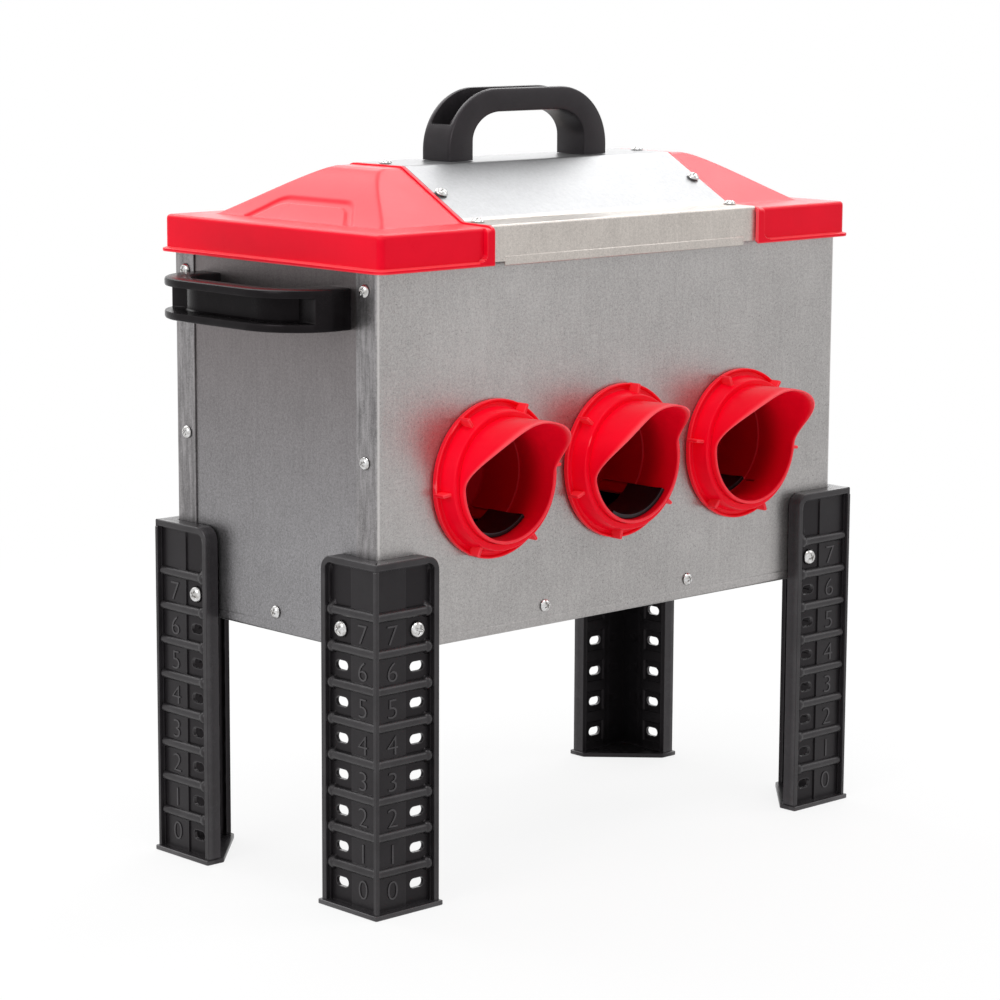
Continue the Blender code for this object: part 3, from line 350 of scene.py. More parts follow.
# The side panels are a darker copy of the same zinc, painted shade, and darker still from 0.20 m up toward
# the top: painted shade under the lid.
side_zinc = galvanised("galvanised_side_panel", (0.262, 0.257, 0.264), 0.34, 1.3,
                       ("Z", 0.20, 0.46, (0.170, 0.150, 0.150)))
hopper_panel("left", -90, 0.0, SIDE_RELIEF, side_zinc)
hopper_panel("right", 90, 0.0, SIDE_RELIEF, side_zinc)
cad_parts["bottom_pan"].data.materials.clear()
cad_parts["bottom_pan"].data.materials.append(panel_zinc)


# Screws
# Pan-head screws of zinc-plated steel with a cross recess. One size, given by the radius of its shank and
# the radius and height of its head, holds the sheets, the lid and its handle. The legs have a larger one.
SCREW = (0.0021, 0.0046, 0.0026)
SHANK = 0.009


def zinc_plated():
    """Bright zinc plating: pale, with uneven gloss and patches of grey film."""
    finish = Finish("zinc_plated_screw")
    finish.feed("Metallic", 1.0)
    cloud = finish.noise(420.0)
    scuff = finish.noise(1500.0)
    finish.feed("Base Color", finish.blend(cloud.step(0.30, 0.66), (0.44, 0.425, 0.41), (0.70, 0.70, 0.70)))
    finish.feed("Roughness", 0.16 + scuff * 0.14)
    finish.bump(scuff, 0.000004)
    return finish.material


def turned_profile(profile, angle):
    """A profile in (radius, height) turned about its axis: r cos t, r sin t and h."""
    radius, height = profile[:, :1], profile[:, 1:]
    return grid_of(radius * np.cos(angle), radius * np.sin(angle), height)


def screw_patch(sizes, shank):
    """A screw as rings about its axis: head top, a domed rim, its underside, then the shank down to its tip.

    The top is z = h (1 - 0.8 r^4), with r as a share of the head's radius, and is sunk by a cross whose arms
    narrow outward and end before the rim.
    """
    shank_radius, head, height = sizes
    angle = np.linspace(0, math.tau, 64, endpoint=False)
    r = lines((0.0, 0.66 * head, 20), (0.66 * head, head, 9))[:, None]
    x, y = r * np.cos(angle), r * np.sin(angle)
    arm = np.minimum(np.abs(x), np.abs(y)) / head
    reach = np.maximum(np.abs(x), np.abs(y)) / head
    width = 0.13 * (1.0 - 0.6 * reach)
    cross = np.clip((width - arm) / 0.05 + 0.5, 0.0, 1.0) * np.clip((0.60 - reach) / 0.06, 0.0, 1.0)
    top = grid_of(x, y, height * (1.0 - 0.80 * (r / head) ** 4 - cross * (0.62 - 0.5 * reach)))
    below = turned_profile(np.array([
        (head, 0.13 * height), (head - 0.0003, 0.0), (shank_radius, 0.0), (shank_radius, -shank), (0, -shank),
    ]), angle)
    grid = np.concatenate([top, below])
    return grid, quads(grid, wrap_columns=True)


def set_screw(node, facing, body, twist, sizes=SCREW, shank=SHANK):
    """A screw where its node is, 0.3 mm off the face, turned about its axis by its own amount."""
    low, high = np.array(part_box(node))
    points, cells = screw_patch(sizes, shank)
    turn = Vector(facing).to_track_quat("Z", "Y").to_matrix() @ Matrix.Rotation(twist, 3, "Z")
    underside = (low + high) / 2 + np.array(facing) * (shank - sizes[2]) / 2
    points = points @ np.array(turn).T + underside
    new_piece(node + "_head", [(points, cells)], zinc_finish, body, (node,), sharp=42)


zinc_finish = zinc_plated()
twist = 0.3
for end in ("left", "right"):
    for side in ("front", "back"):
        for row in ("upper", "lower"):
            twist += 0.9
            set_screw(f"flange_screw_{end}_{side}_{row}", FACING[end], "hopper", twist)
    set_screw(f"pan_screw_{end}", FACING[end], "hopper", twist + 0.4)
    for side in ("front", "back"):
        twist += 1.3
        set_screw(f"pan_screw_{side}_{end}", FACING[side], "hopper", twist)


# Feed ports
# Red polypropylene tubes, closed behind, that go out through the front panel. A hood is drawn out over each
# mouth in one sweep. The tube is flanged behind the sheet, and a ring screwed on from outside clamps it.
PORT_NAMES = ("left", "middle", "right")
TUBE_OUTER = 0.0430
TUBE_BACK = 0.0555
TUBE_FLANGE = 0.050
BORE = 0.0406
RIM_REACH = 0.0185
HOOD_START = 0.0155
HOOD_REACH = 0.0329
HOOD_FLARE = 0.002
GROOVE_ANGLE = math.radians(42.0)
GROOVE_WIDTH = 0.0009
GROOVE_DEPTH = 0.0016
OPENING_ANGLE = math.radians(31.0)
OPENING_RUN = (0.0223, 0.0483)
PORT_TURN = (-1.4, -12.3, 3.5)
RED_TONE = (0.98, 0.0015, 0.018)


def red_plastic(name, tone, inward=None, top_highlight=0.0):
    """Moulded polypropylene: saturated red with a satin skin, faint flow marks and a fine mould texture.

    Between two depths it can pass into a deeper red, painted shade inside, and be rougher there; what faces
    up can be painted paler, a painted highlight.
    Convex edges are painted pale, a painted highlight, and inner corners deeper in colour, a painted shade.
    """
    finish = Finish(name)
    finish.feed("Specular IOR Level", 0.20)
    finish.feed("Specular Tint", (1.0, 0.35, 0.45, 1.0))
    flow = finish.stretched_noise((1.0, 1.0, 0.6), 9.0, 3.0, 0.55)
    skin = finish.noise(2300.0)
    smear = finish.noise(38.0, 4.0, 0.6)
    moulded = (flow * 0.7 + smear * 0.3).step(0.25, 0.75)
    colour = finish.blend(moulded, tint(tone, 0.90, 0.5, 0.85), tint(tone, 1.06, 1.8, 1.2))
    inside_shade = finish.along("Y").step(*inward) if inward else 0.0
    facing_up = finish.along("Z", finish.node("NewGeometry", output="Normal")).step(0.5, 0.8)
    # Faces turned up are painted paler: a painted highlight.
    colour = finish.blend(facing_up * (top_highlight * (0.7 + smear * 0.6)), colour, (1.0, 0.10, 0.11))
    # Between the shade depths the colour is a deeper red: painted shade inside the tube.
    colour = finish.blend(inside_shade, colour, tint(tone, 0.42, 0.0, 0.3))
    bend = finish.node("NewGeometry", output="Pointiness")
    # Inner corners are painted a deeper red: painted shade.
    colour = finish.blend(bend.step(0.486, 0.41) * 0.7, colour, tint(tone, 0.38, 0.0, 0.4))
    # Convex edges are painted pale red: a painted highlight.
    colour = finish.blend(bend.step(0.514, 0.59) * (0.5 + smear * 0.5), colour, (1.0, 0.12, 0.14))
    finish.feed("Base Color", colour)
    finish.feed("Roughness", 0.32 + (smear - 0.5) * 0.16 + (skin - 0.5) * 0.10 + 0.36 * inside_shade)
    finish.bump(skin, 0.00002)
    finish.bump(smear, 0.00008)
    return finish.material


def hood(angle):
    """The hood's share at an angle from the top of the rim. With c the height of the rim there, from 0 to 1,
    it is the S-shaped 1.2 c c (3 - 2 c) - 0.2 c."""
    rise = np.clip((np.cos(angle) + 0.06) / 1.06, 0.0, 1.0)
    return np.maximum(1.2 * rise * rise * (3 - 2 * rise) - 0.2 * rise, 0.0)


def rounded_profile(corners, radius, steps=4):
    """A closed profile through corner points, each corner replaced by an arc of up to the given radius."""
    corners = np.asarray(corners, dtype=float)
    back = np.roll(corners, 1, axis=0) - corners
    ahead = np.roll(corners, -1, axis=0) - corners
    back_length = np.linalg.norm(back, axis=1, keepdims=True)
    ahead_length = np.linalg.norm(ahead, axis=1, keepdims=True)
    reach = np.minimum(radius, 0.45 * np.minimum(back_length, ahead_length))
    share = np.linspace(0, 1, steps + 1)[None, :, None]
    start = (corners + back / back_length * reach)[:, None]
    end = (corners + ahead / ahead_length * reach)[:, None]
    middle = corners[:, None]
    arcs = (1 - share) ** 2 * start + 2 * share * (1 - share) * middle + share ** 2 * end
    return arcs.reshape(-1, 2)


def placed_port(points, index, turn):
    """Points about a port's own axis, turned clockwise as seen from the front and moved to the port."""
    cosine, sine = math.cos(math.radians(turn)), math.sin(math.radians(turn))
    x, y, z = np.moveaxis(points, -1, 0)
    return grid_of(x * cosine + z * sine + PORT_X[index], y + PORT_FACE, z * cosine - x * sine + PORT_Z)


def tube_patch():
    """The tube: its profile in (radius, y) turned about its axis.

    Every point in front of the collar moves forward by the hood's share of its reach and outward by its
    flare. Two grooves are sunk into the bore for the gate, and a window in the floor behind the panel lets
    the feed in.
    """
    edge = GROOVE_WIDTH / BORE
    marks = [math.pi + side * GROOVE_ANGLE + np.array([-1.1, -0.9, 0.9, 1.1]) * edge for side in (-1, 1)]
    window = math.pi + OPENING_ANGLE * np.array([-1.0, 1.0])
    angle = np.unique(np.concatenate([np.linspace(0, math.tau, 168, endpoint=False), *marks, window]))
    window_front, window_back = OPENING_RUN
    flange_front, flange_back = 0.0011, 0.0041
    outer = [
        (0.0, TUBE_BACK), (TUBE_OUTER - 0.001, TUBE_BACK), (TUBE_OUTER, TUBE_BACK - 0.001),
        (TUBE_OUTER, window_back), (TUBE_OUTER, window_front), (TUBE_OUTER, flange_back),
        (TUBE_FLANGE, flange_back), (TUBE_FLANGE, flange_front), (TUBE_OUTER, flange_front),
    ]
    neck = lines((0.0, -HOOD_START, 4), (-HOOD_START - 0.0004, -RIM_REACH + 0.0012, 12))
    rim = [
        (TUBE_OUTER, -0.0176), (0.0428, -0.0181), (0.0423, -RIM_REACH), (0.0413, -RIM_REACH),
        (0.0408, -0.0181), (BORE, -0.0176),
    ]
    throat = lines((-0.0172, -HOOD_START, 9), (-0.0150, 0.0050, 12))
    seam = [
        (BORE, 0.0052), (BORE, 0.0058), (BORE, 0.0110), (BORE, 0.0150), (BORE - 0.0004, 0.0153),
        (BORE - 0.0004, 0.0165), (BORE, 0.0168),
    ]
    inner = [(BORE, y) for y in (window_front, window_back, 0.0495, 0.0498, 0.0520)]
    back = [(BORE - 0.001, 0.0531), (0.0, 0.0531)]
    profile = np.array(outer + [(TUBE_OUTER, y) for y in neck] + rim + [(BORE, y) for y in throat] + seam
                       + inner + back)
    r, turn = np.meshgrid(profile[:, 0], angle, indexing="ij")
    y = profile[:, 1:]
    ahead = np.clip((-y - HOOD_START) / (RIM_REACH - HOOD_START), 0.0, 1.0)
    share = hood((turn + math.pi) % math.tau - math.pi) * ahead
    from_groove = np.abs(np.abs(turn - math.pi) - GROOVE_ANGLE)
    sunk = (np.abs(r - BORE) < 1e-6) & (y > 0.0055) & (y < 0.0496) & (from_groove < edge)
    r = r + HOOD_FLARE * share + GROOVE_DEPTH * sunk
    points = grid_of(r * np.sin(turn), y - HOOD_REACH * share, r * np.cos(turn))
    cells = quads(r, wrap_columns=True)
    outside, inside = 3, len(profile) - len(back) - len(inner)
    first, last = np.searchsorted(angle, window)
    keep = np.ones(cells.shape[:2], bool)
    keep[[outside, inside], first:last] = False
    index = np.arange(r.size).reshape(r.shape)
    across = np.arange(first, last)
    sills = [
        np.stack([index[out_row, across], index[out_row, across + 1], index[in_row, across + 1],
                  index[in_row, across]], axis=-1)
        for out_row, in_row in ((outside, inside + 1), (outside + 1, inside))
    ]
    cheeks = index[[outside, outside + 1, inside, inside + 1]][:, [first, last]].T
    return points, np.concatenate([cells[keep], *sills, cheeks])


# From 12 mm in front of the panel face to 12 mm behind it the tube's red turns deeper: painted shade inside
# the bore.
tube_red = red_plastic("red_tube_plastic", RED_TONE, (PORT_FACE - 0.012, PORT_FACE + 0.012))
tube, tube_cells = tube_patch()
for index, port in enumerate(PORT_NAMES):
    points = placed_port(tube, index, PORT_TURN[index])
    new_piece(f"port_{port}_hooded_tube", [(points, tube_cells)], tube_red, "hopper",
              (f"port_tube_{port}",), sharp=50)


# Lock rings
# A red ring on each port, screwed on from outside: a flange against the sheet, a slightly conical collar with
# the thread inside it, and six fins for the fingers, each rounded at its outer end.
RING_TURN = (5.7, 21.0, 52.0)
RING_PROFILE = (
    (0.0433, -0.0001), (0.0548, -0.0001), (0.0548, -0.0040), (0.0533, -0.0040), (0.0529, -0.0022),
    (0.0497, -0.0024), (0.0478, -0.0140), (0.0470, -0.0145), (0.0433, -0.0145),
)
FINS = 6
FIN_RUN = (0.0462, 0.0552)
FIN_HALF = (0.0012, 0.0054)
FIN_MIDDLE = -0.0063
FIN_EDGE = 0.0009


def capped(grid):
    """A run of closed sections, closed at both ends by a section drawn in to its middle."""
    ends = np.repeat(grid[[0, -1]].mean(axis=1, keepdims=True), grid.shape[1], axis=1)
    return np.concatenate([ends[:1], grid, ends[1:]])


def rounded_bar(start, end, across, up, half, edge):
    """A bar of rounded rectangular section carried from a start to an end; its end sections draw in by the
    edge radius along a quarter circle, and it closes on its axis."""
    start, end, across, up = np.array([start, end, across, up], dtype=float)
    length = np.linalg.norm(end - start)
    quarter = np.linspace(0, math.pi / 2, 4)
    run_in, inset = edge * (1 - np.cos(quarter)), edge * (1 - np.sin(quarter))
    place = np.concatenate([run_in, length - run_in[::-1]])[:, None, None]
    inset = np.concatenate([inset, inset[::-1]])[:, None, None]
    section = rounded_profile(np.multiply([(-1, -1), (1, -1), (1, 1), (-1, 1)], half), edge * 1.4)
    flat = section * np.maximum(1 - inset / np.array(half), 0.0)
    grid = capped(start + (end - start) / length * place + flat[..., :1] * across + flat[..., 1:] * up)
    return grid, quads(grid, wrap_columns=True)


def ring_patches():
    """The ring's profile in (radius, y) turned about the axis, with a raised border round its flange, and
    fins laid radially on the flange."""
    profile = rounded_profile(RING_PROFILE, 0.0008, 3)
    body = turned_profile(profile, np.linspace(0, math.tau, 128, endpoint=False))[..., [0, 2, 1]]
    patches = [(body, quads(body, wrap_rows=True, wrap_columns=True))]
    for turn in np.arange(FINS) * math.tau / FINS:
        out = np.array([math.cos(turn), 0.0, math.sin(turn)])
        side = np.array([-math.sin(turn), 0.0, math.cos(turn)])
        start, end = (out * reach + np.array([0.0, FIN_MIDDLE, 0.0]) for reach in FIN_RUN)
        patches.append(rounded_bar(start, end, side, (0, 1, 0), FIN_HALF, FIN_EDGE))
    return patches


port_red = red_plastic("red_port_plastic", RED_TONE)
for index, port in enumerate(PORT_NAMES):
    patches = [(placed_port(points, index, -RING_TURN[index]), cells) for points, cells in ring_patches()]
    new_piece(f"port_{port}_grip_ring", patches, port_red, "hopper",
              (f"port_lock_ring_{port}",), sharp=45)


# Feed gates
# A black curved slide lies in the floor of each port and sets how far the feed opening is uncovered. Its two
# edges run in grooves of the bore, and a low lip across its front is what the finger pushes.
GATE_REST = (-0.0039, -0.0139, 0.015)
GATE_LENGTH = 0.0358
GATE_GAP = 0.0004
GATE_THICK = 0.0017
GATE_LIP = 0.0013


def black_plastic(name, tone, gloss, shine, raised=None):
    """Moulded black plastic: a fine spark-eroded texture, grey dust, and shinier edges with a painted
    highlight.

    Where a mesh carries its height in an attribute, the low places keep a duller skin and are painted darker
    than the high: painted shade.
    """
    finish = Finish(name)
    finish.feed("Specular IOR Level", shine)
    finish.feed("Specular Tint", (1.0, 0.90, 0.96, 1.0))
    finish.feed("Coat Roughness", gloss)
    dust = finish.noise(55.0, 4.0, 0.6)
    skin = finish.noise(1900.0, 2.0, 0.55)
    # Convex edges are painted pale grey, a painted highlight, and made a little glossier.
    edge_highlight = finish.node("NewGeometry", output="Pointiness").step(0.512, 0.60)
    lighter = tuple(channel * 1.6 + 0.002 for channel in tone)
    edge_highlight_tone = tuple(channel * 3.0 + 0.012 for channel in tone)
    plain = finish.blend((dust * 0.65 + skin * 0.35).step(0.3, 0.75), tone, lighter)
    if raised:
        height = finish.node("Attribute", {"attribute_name": "height"}, {}, "Fac").step(*raised)
        # Low places are painted darker: painted shade in the recesses.
        plain = finish.blend(height, tint(tone, 0.8), plain)
        finish.feed("Coat Weight", height * (0.25 + dust * 0.40) + edge_highlight * 0.35)
    finish.feed("Base Color", finish.blend(edge_highlight * (0.35 + dust * 0.65), plain, edge_highlight_tone))
    finish.feed("Roughness", gloss + (dust - 0.5) * 0.16 + (skin - 0.5) * 0.14 - edge_highlight * 0.10)
    finish.bump(skin, 0.00004)
    finish.bump(dust, 0.00009)
    return finish.material


def gate_patch():
    """The gate as closed sections round its arc: from the bore inward, raised at the front for the lip."""
    outer = BORE - GATE_GAP
    inner = outer - GATE_THICK
    section = rounded_profile([
        (outer, 0.0002), (outer, GATE_LENGTH), (inner, GATE_LENGTH), (inner, 0.0022),
        (inner - GATE_LIP, 0.0018), (inner - GATE_LIP, 0.0002),
    ], 0.0005, 3)
    angle = np.linspace(-GROOVE_ANGLE, GROOVE_ANGLE, 49)[:, None]
    grid = capped(grid_of(section[:, 0] * np.sin(angle), section[:, 1], -section[:, 0] * np.cos(angle)))
    return grid, quads(grid, wrap_columns=True)


gate_black = black_plastic("black_gate_plastic", (0.006, 0.0055, 0.006), 0.32, 0.30)
gate, gate_cells = gate_patch()
for index, port in enumerate(PORT_NAMES):
    points = placed_port(gate + np.array([0.0, GATE_REST[index], 0.0]), index, PORT_TURN[index])
    new_piece(f"port_{port}_gate", [(points, gate_cells)], gate_black, f"gate_{port}",
              (f"feed_gate_{port}",))


# Legs
# Four identical injection-moulded corner legs of black plastic. Each is an L with a rim round both arms, a
# square bead down its outer corner, a raised pad with the row's number beside every slot, and half-round ribs
# between the rows. A three-cornered plate closes the foot. Two screws in the top row hold it to the hopper.
LEG_HEIGHT = 0.2418
LEG_ARM = 0.0455
LEG_OUT = 0.012
LEG_RIM = 0.0045
LEG_ROUND = 0.010
LEG_WEB = (0.0032, 0.0065)
RIM_PROUD = 0.0047
FOOT_PROUD = 0.0015
ROWS = 8
PITCH = 0.025
FIRST_ROW = 0.0177
SLOT_X = 0.029
SLOT_HALF = 0.00285
SLOT_ROUND = 0.0034
DIGIT_HEIGHT = 0.0130
DIGIT_THICK = 0.0009
DIGIT_PLACE = (0.0061, -0.0077, FIRST_ROW - 0.0007)
LEG_SCREW = (0.0028, 0.006, 0.0034)
LEG_SHANK = 0.0064


def smooth(value, low, high):
    """A smooth step of an array: 0 at the low value, 1 at the high one."""
    share = np.clip((value - low) / (high - low), 0.0, 1.0)
    return share * share * (3 - 2 * share)


def row_height(z):
    """The height of the row of slots that is nearest to a height."""
    return FIRST_ROW + np.clip(np.round((z - FIRST_ROW) / PITCH), 0, ROWS - 1) * PITCH


def edge_distance(a, z):
    """Distance inside the arm's outline: its upright edge, its top edge, and the round between them."""
    centre_a, centre_z = LEG_ARM - LEG_ROUND, LEG_HEIGHT - LEG_ROUND
    in_round = (a > centre_a) & (z > centre_z)
    from_centre = np.hypot(a - centre_a, z - centre_z)
    return np.where(in_round, LEG_ROUND - from_centre, np.minimum(LEG_ARM - a, LEG_HEIGHT - z))


def half_round(distance, height, radius):
    """A rib's rise: its height times the root of 1 - (distance / radius)^2, and nothing past the radius."""
    return height * np.sqrt(np.clip(1 - (distance / radius) ** 2, 0.0, 1.0))


def outer_face(a, z):
    """How far the arm's outer face stands off the hopper at a distance along the arm and a height.

    The highest of: the web, sunk round each slot and raised for the number pads; the half-round ribs with
    their round ends; the rim with a shelf inside it; and the bead.
    """
    off_row = np.abs(z - row_height(z))
    pad = 0.0011 * smooth(a, 0.0185, 0.0181)
    hollow = 0.0009 * smooth(a, 0.0185, 0.0190) * smooth(a, 0.0378, 0.0373) * smooth(off_row, 0.0085, 0.0081)
    row = (z - FIRST_ROW) / PITCH
    off_rib = (row - np.clip(np.floor(row), 0, ROWS - 1) - 0.5) * PITCH
    rib = half_round(np.hypot(off_rib, np.maximum(a - 0.0372, 0.0)), 0.0040, 0.0037)
    rib_end = half_round(np.hypot(off_rib, a - 0.0374), 0.0044, 0.0047)
    inside = edge_distance(a, z)
    rim = smooth(inside, LEG_RIM + 0.0004, LEG_RIM - 0.0001) * RIM_PROUD
    shelf = smooth(inside, LEG_RIM + 0.0016, LEG_RIM + 0.0012) * 0.0018
    bead_top = 0.0005 * smooth(z, LEG_HEIGHT - 0.0050, LEG_HEIGHT - 0.0054)
    bead = smooth(a, -0.0086, -0.0090) * (RIM_PROUD + bead_top)
    raised = [pad - hollow, rib * smooth(a, -0.0085, -0.0080), rib_end, shelf, rim, bead]
    return LEG_WEB[1] + np.maximum.reduce(raised) - 0.0005 * smooth(inside, 0.0006, 0.0)


def inner_face(a, z):
    """How far the arm's inner face stands off the hopper: recessed behind the rims, with a square sunk round
    each slot, a faint line up the middle and two round ejector marks a row."""
    off_row = np.abs(z - row_height(z))
    square = 0.0007 * smooth(np.abs(a - SLOT_X), 0.0092, 0.0086) * smooth(off_row, 0.0085, 0.0079)
    line = 0.0003 * smooth(np.abs(a - 0.0155), 0.0006, 0.0003)
    mark = 0.0004 * smooth(np.hypot(a - 0.0085, off_row), 0.0036, 0.0032)
    rim = 0.0026 * smooth(edge_distance(a, z), LEG_RIM + 0.0002, LEG_RIM - 0.0004)
    return LEG_WEB[0] + square + line + mark - rim


def slot_offset(a, z):
    """How far a point lies from the core line of the nearest slot, along the arm and up."""
    return a - SLOT_X - np.clip(a - SLOT_X, -SLOT_HALF, SLOT_HALF), z - row_height(z)


def arm_patch():
    """One arm as a thick sheet over a grid of (distance along the arm, height): outer and inner faces, side
    walls wherever the grid ends, and the slots, whose nearest grid points are moved onto their outline."""
    along = lines(
        (-0.0120, -0.0114, 2), (-0.0108, -0.0094, 3), (-0.0090, -0.0086, 3), (-0.0084, -0.0080, 2),
        (-0.0070, 0.0177, 14), (0.0181, 0.0185, 3), (0.0190, 0.0200, 2), (0.0207, 0.0368, 24),
        (0.0378, 0.0394, 5), (0.0396, 0.0410, 6), (0.0415, 0.0449, 4), (0.0452, LEG_ARM, 2),
    )
    half_cell = np.array([
        0.0, 0.0007, 0.0014, 0.0020, 0.0027, 0.0034, 0.0042, 0.0058, 0.0073, 0.0081, 0.0085,
    ])
    half_rib = np.array([0.0, 0.0007, 0.0014, 0.0021, 0.0027, 0.0032, 0.0035, 0.0037])
    cell = np.concatenate([-half_cell, half_cell, PITCH / 2 - half_rib, PITCH / 2 + half_rib])
    rows = FIRST_ROW + np.arange(ROWS)[:, None] * PITCH + cell
    top = LEG_HEIGHT - np.array([
        0.0300, 0.0260, 0.0220, 0.0176, 0.0130, 0.0098, 0.0076, 0.0068, 0.0060, 0.0057, 0.0054,
        0.0052, 0.0050, 0.0048, 0.0046, 0.0043, 0.0036, 0.0022, 0.0012, 0.0006, 0.0003, 0.0,
    ])
    up = np.unique(np.round(np.concatenate([[0.0030, 0.0050], rows.reshape(-1), top]), 6))
    t, z = np.meshgrid(along, up, indexing="ij")
    above = np.clip(z - (LEG_HEIGHT - LEG_ROUND), 0.0, LEG_ROUND)
    reach = LEG_ARM - LEG_ROUND + np.sqrt(np.maximum(LEG_ROUND ** 2 - above ** 2, 0.0))
    a = np.where(t > 0.0, t * reach / LEG_ARM, t)
    middle_a, middle_z = ((value[:-1, :-1] + value[1:, 1:]) / 2 for value in (a, z))
    kept = np.hypot(*slot_offset(middle_a, middle_z)) >= SLOT_ROUND
    around = np.pad(~kept, 1)
    touching = np.stack([around[:-1, :-1], around[1:, :-1], around[:-1, 1:], around[1:, 1:]])
    border = touching.any(axis=0) & ~touching.all(axis=0)
    off_a, off_z = slot_offset(a, z)
    stretch = SLOT_ROUND / np.maximum(np.hypot(off_a, off_z), 1e-9) - 1
    a, z = a + np.where(border, off_a * stretch, 0.0), z + np.where(border, off_z * stretch, 0.0)
    corner = t <= along[0]
    outer = outer_face(a, z) - np.where(corner, 0.0002, 0.0)
    inner = inner_face(a, z)
    outer_points = grid_of(np.where(corner, -outer, a), -outer, z)
    inner_points = grid_of(np.maximum(a, -inner), -inner, z)
    cells = quads(a)[kept]
    index = np.arange(a.size).reshape(a.shape)
    solid = np.pad(kept, 1)
    solid[0, :] = solid[1, :]
    walls = []
    for change, first, second in (
        (solid[:-1, 1:-1] != solid[1:, 1:-1], index[:, :-1], index[:, 1:]),
        (solid[1:-1, :-1] != solid[1:-1, 1:], index[:-1, :], index[1:, :]),
    ):
        first, second = first[change], second[change]
        walls.append(np.stack([first, second, second + a.size, first + a.size], axis=-1))
    return np.stack([outer_points, inner_points]), np.concatenate([cells, cells[:, ::-1] + a.size] + walls)


def foot_patch():
    """The foot plate: its five-cornered outline with rounded corners, in rings from the middle of the
    underside out, up the edge and back to the middle of the top."""
    out, tip = LEG_OUT + FOOT_PROUD, LEG_ARM + FOOT_PROUD
    inset = 0.0012
    outline = rounded_profile([(-out, -out), (tip, -out), (tip, inset), (inset, tip), (-out, tip)], inset, 3)
    centre = outline.mean(axis=0)
    rings = [(0.0, 0.0), (0.985, 0.0), (1.0, 0.0004), (1.0, 0.0030), (0.985, 0.0034), (0.0, 0.0034)]
    grid = np.array([grid_of(*(centre + (outline - centre) * share).T, z) for share, z in rings])
    return grid, quads(grid, wrap_columns=True)


def mesh_points(mesh):
    """A mesh's points as an array."""
    points = np.empty(len(mesh.vertices) * 3)
    mesh.vertices.foreach_get("co", points)
    return points.reshape(-1, 3)


def digit_patch(text):
    """One number as a thin raised plate: a text curve made into a mesh, brought to its full height and stood
    upright, with its face to -Y."""
    curve = bpy.data.curves.new("row_number", "FONT")
    curve.body = text
    curve.align_x = "CENTER"
    curve.size = 1.0
    curve.extrude = 0.1
    curve.offset = -0.016
    curve.resolution_u = 4
    drawn = bpy.data.objects.new("row_number", curve)
    mesh = bpy.data.meshes.new_from_object(drawn)
    points = mesh_points(mesh)
    faces = [tuple(face.vertices) for face in mesh.polygons]
    bpy.data.objects.remove(drawn)
    bpy.data.curves.remove(curve)
    bpy.data.meshes.remove(mesh)
    low, high = points.min(axis=0), points.max(axis=0)
    points = (points - (low + high) / 2) * DIGIT_HEIGHT / (high[1] - low[1])
    points = points * np.array([1.12, 1.0, DIGIT_THICK / np.ptp(points[:, 2])])
    return grid_of(points[:, 0], -points[:, 2], points[:, 1]), faces


def number_patch(digits):
    """The numbers of a leg's rows, each on one arm and then, turned a quarter, on the other."""
    points, faces, start = [], [], 0
    for row, (flat, digit_faces) in enumerate(digits):
        a, out, z = DIGIT_PLACE
        for degrees, place in ((0, (a, out, z + row * PITCH)), (-90, (out, a, z + row * PITCH))):
            points.append(turned_about_z(flat, degrees, place))
            faces += [tuple(start + index for index in face) for face in digit_faces]
            start += len(flat)
    return np.concatenate(points), faces


def with_height(item, corner, degrees):
    """Store how far each point of a leg stands off the hopper."""
    local = turned_about_z(mesh_points(item.data) - corner, -degrees, (0.0, 0.0, 0.0))
    height = item.data.attributes.new("height", "FLOAT", "POINT")
    height.data.foreach_set("value", np.maximum(-local[:, 0], -local[:, 1]))


# On the legs, points under 6 mm off the hopper are painted darker: painted shade in the recesses.
leg_black = black_plastic("black_leg_plastic", (0.0105, 0.0094, 0.0105), 0.34, 0.17, (0.0060, 0.0100))
arm, arm_faces = arm_patch()
leg_parts = [(arm, arm_faces), (arm[..., [1, 0, 2]], arm_faces[:, ::-1]), foot_patch()]
number_points, number_faces = number_patch([digit_patch(str(row)) for row in range(ROWS)])
for leg, degrees in (("front_left", 0), ("front_right", 90), ("back_right", 180), ("back_left", 270)):
    low, high = np.array(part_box("leg_" + leg))
    depth_side, width_side = leg.split("_")
    margin = LEG_OUT + FOOT_PROUD
    corner = np.array([
        low[0] + margin if width_side == "left" else high[0] - margin,
        low[1] + margin if depth_side == "front" else high[1] - margin,
        0.0,
    ])
    patches = [(turned_about_z(points, degrees, corner), faces) for points, faces in leg_parts]
    item = new_piece(f"leg_{leg}_moulding", patches, leg_black, "leg_" + leg, ("leg_" + leg,),
                     sharp=38)
    with_height(item, corner, degrees)
    mesh = bpy.data.meshes.new(f"leg_{leg}_numbers")
    mesh.from_pydata(turned_about_z(number_points, degrees, corner).tolist(), [], number_faces)
    mesh.materials.append(leg_black)
    numbers = add(f"leg_{leg}_numbers", mesh)
    with_height(numbers, corner, degrees)
    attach(numbers, "leg_" + leg)
    for face in (depth_side, width_side):
        twist += 1.1
        set_screw(f"leg_screw_{leg}_{face}", FACING[face], "leg_" + leg, twist, LEG_SCREW, LEG_SHANK)


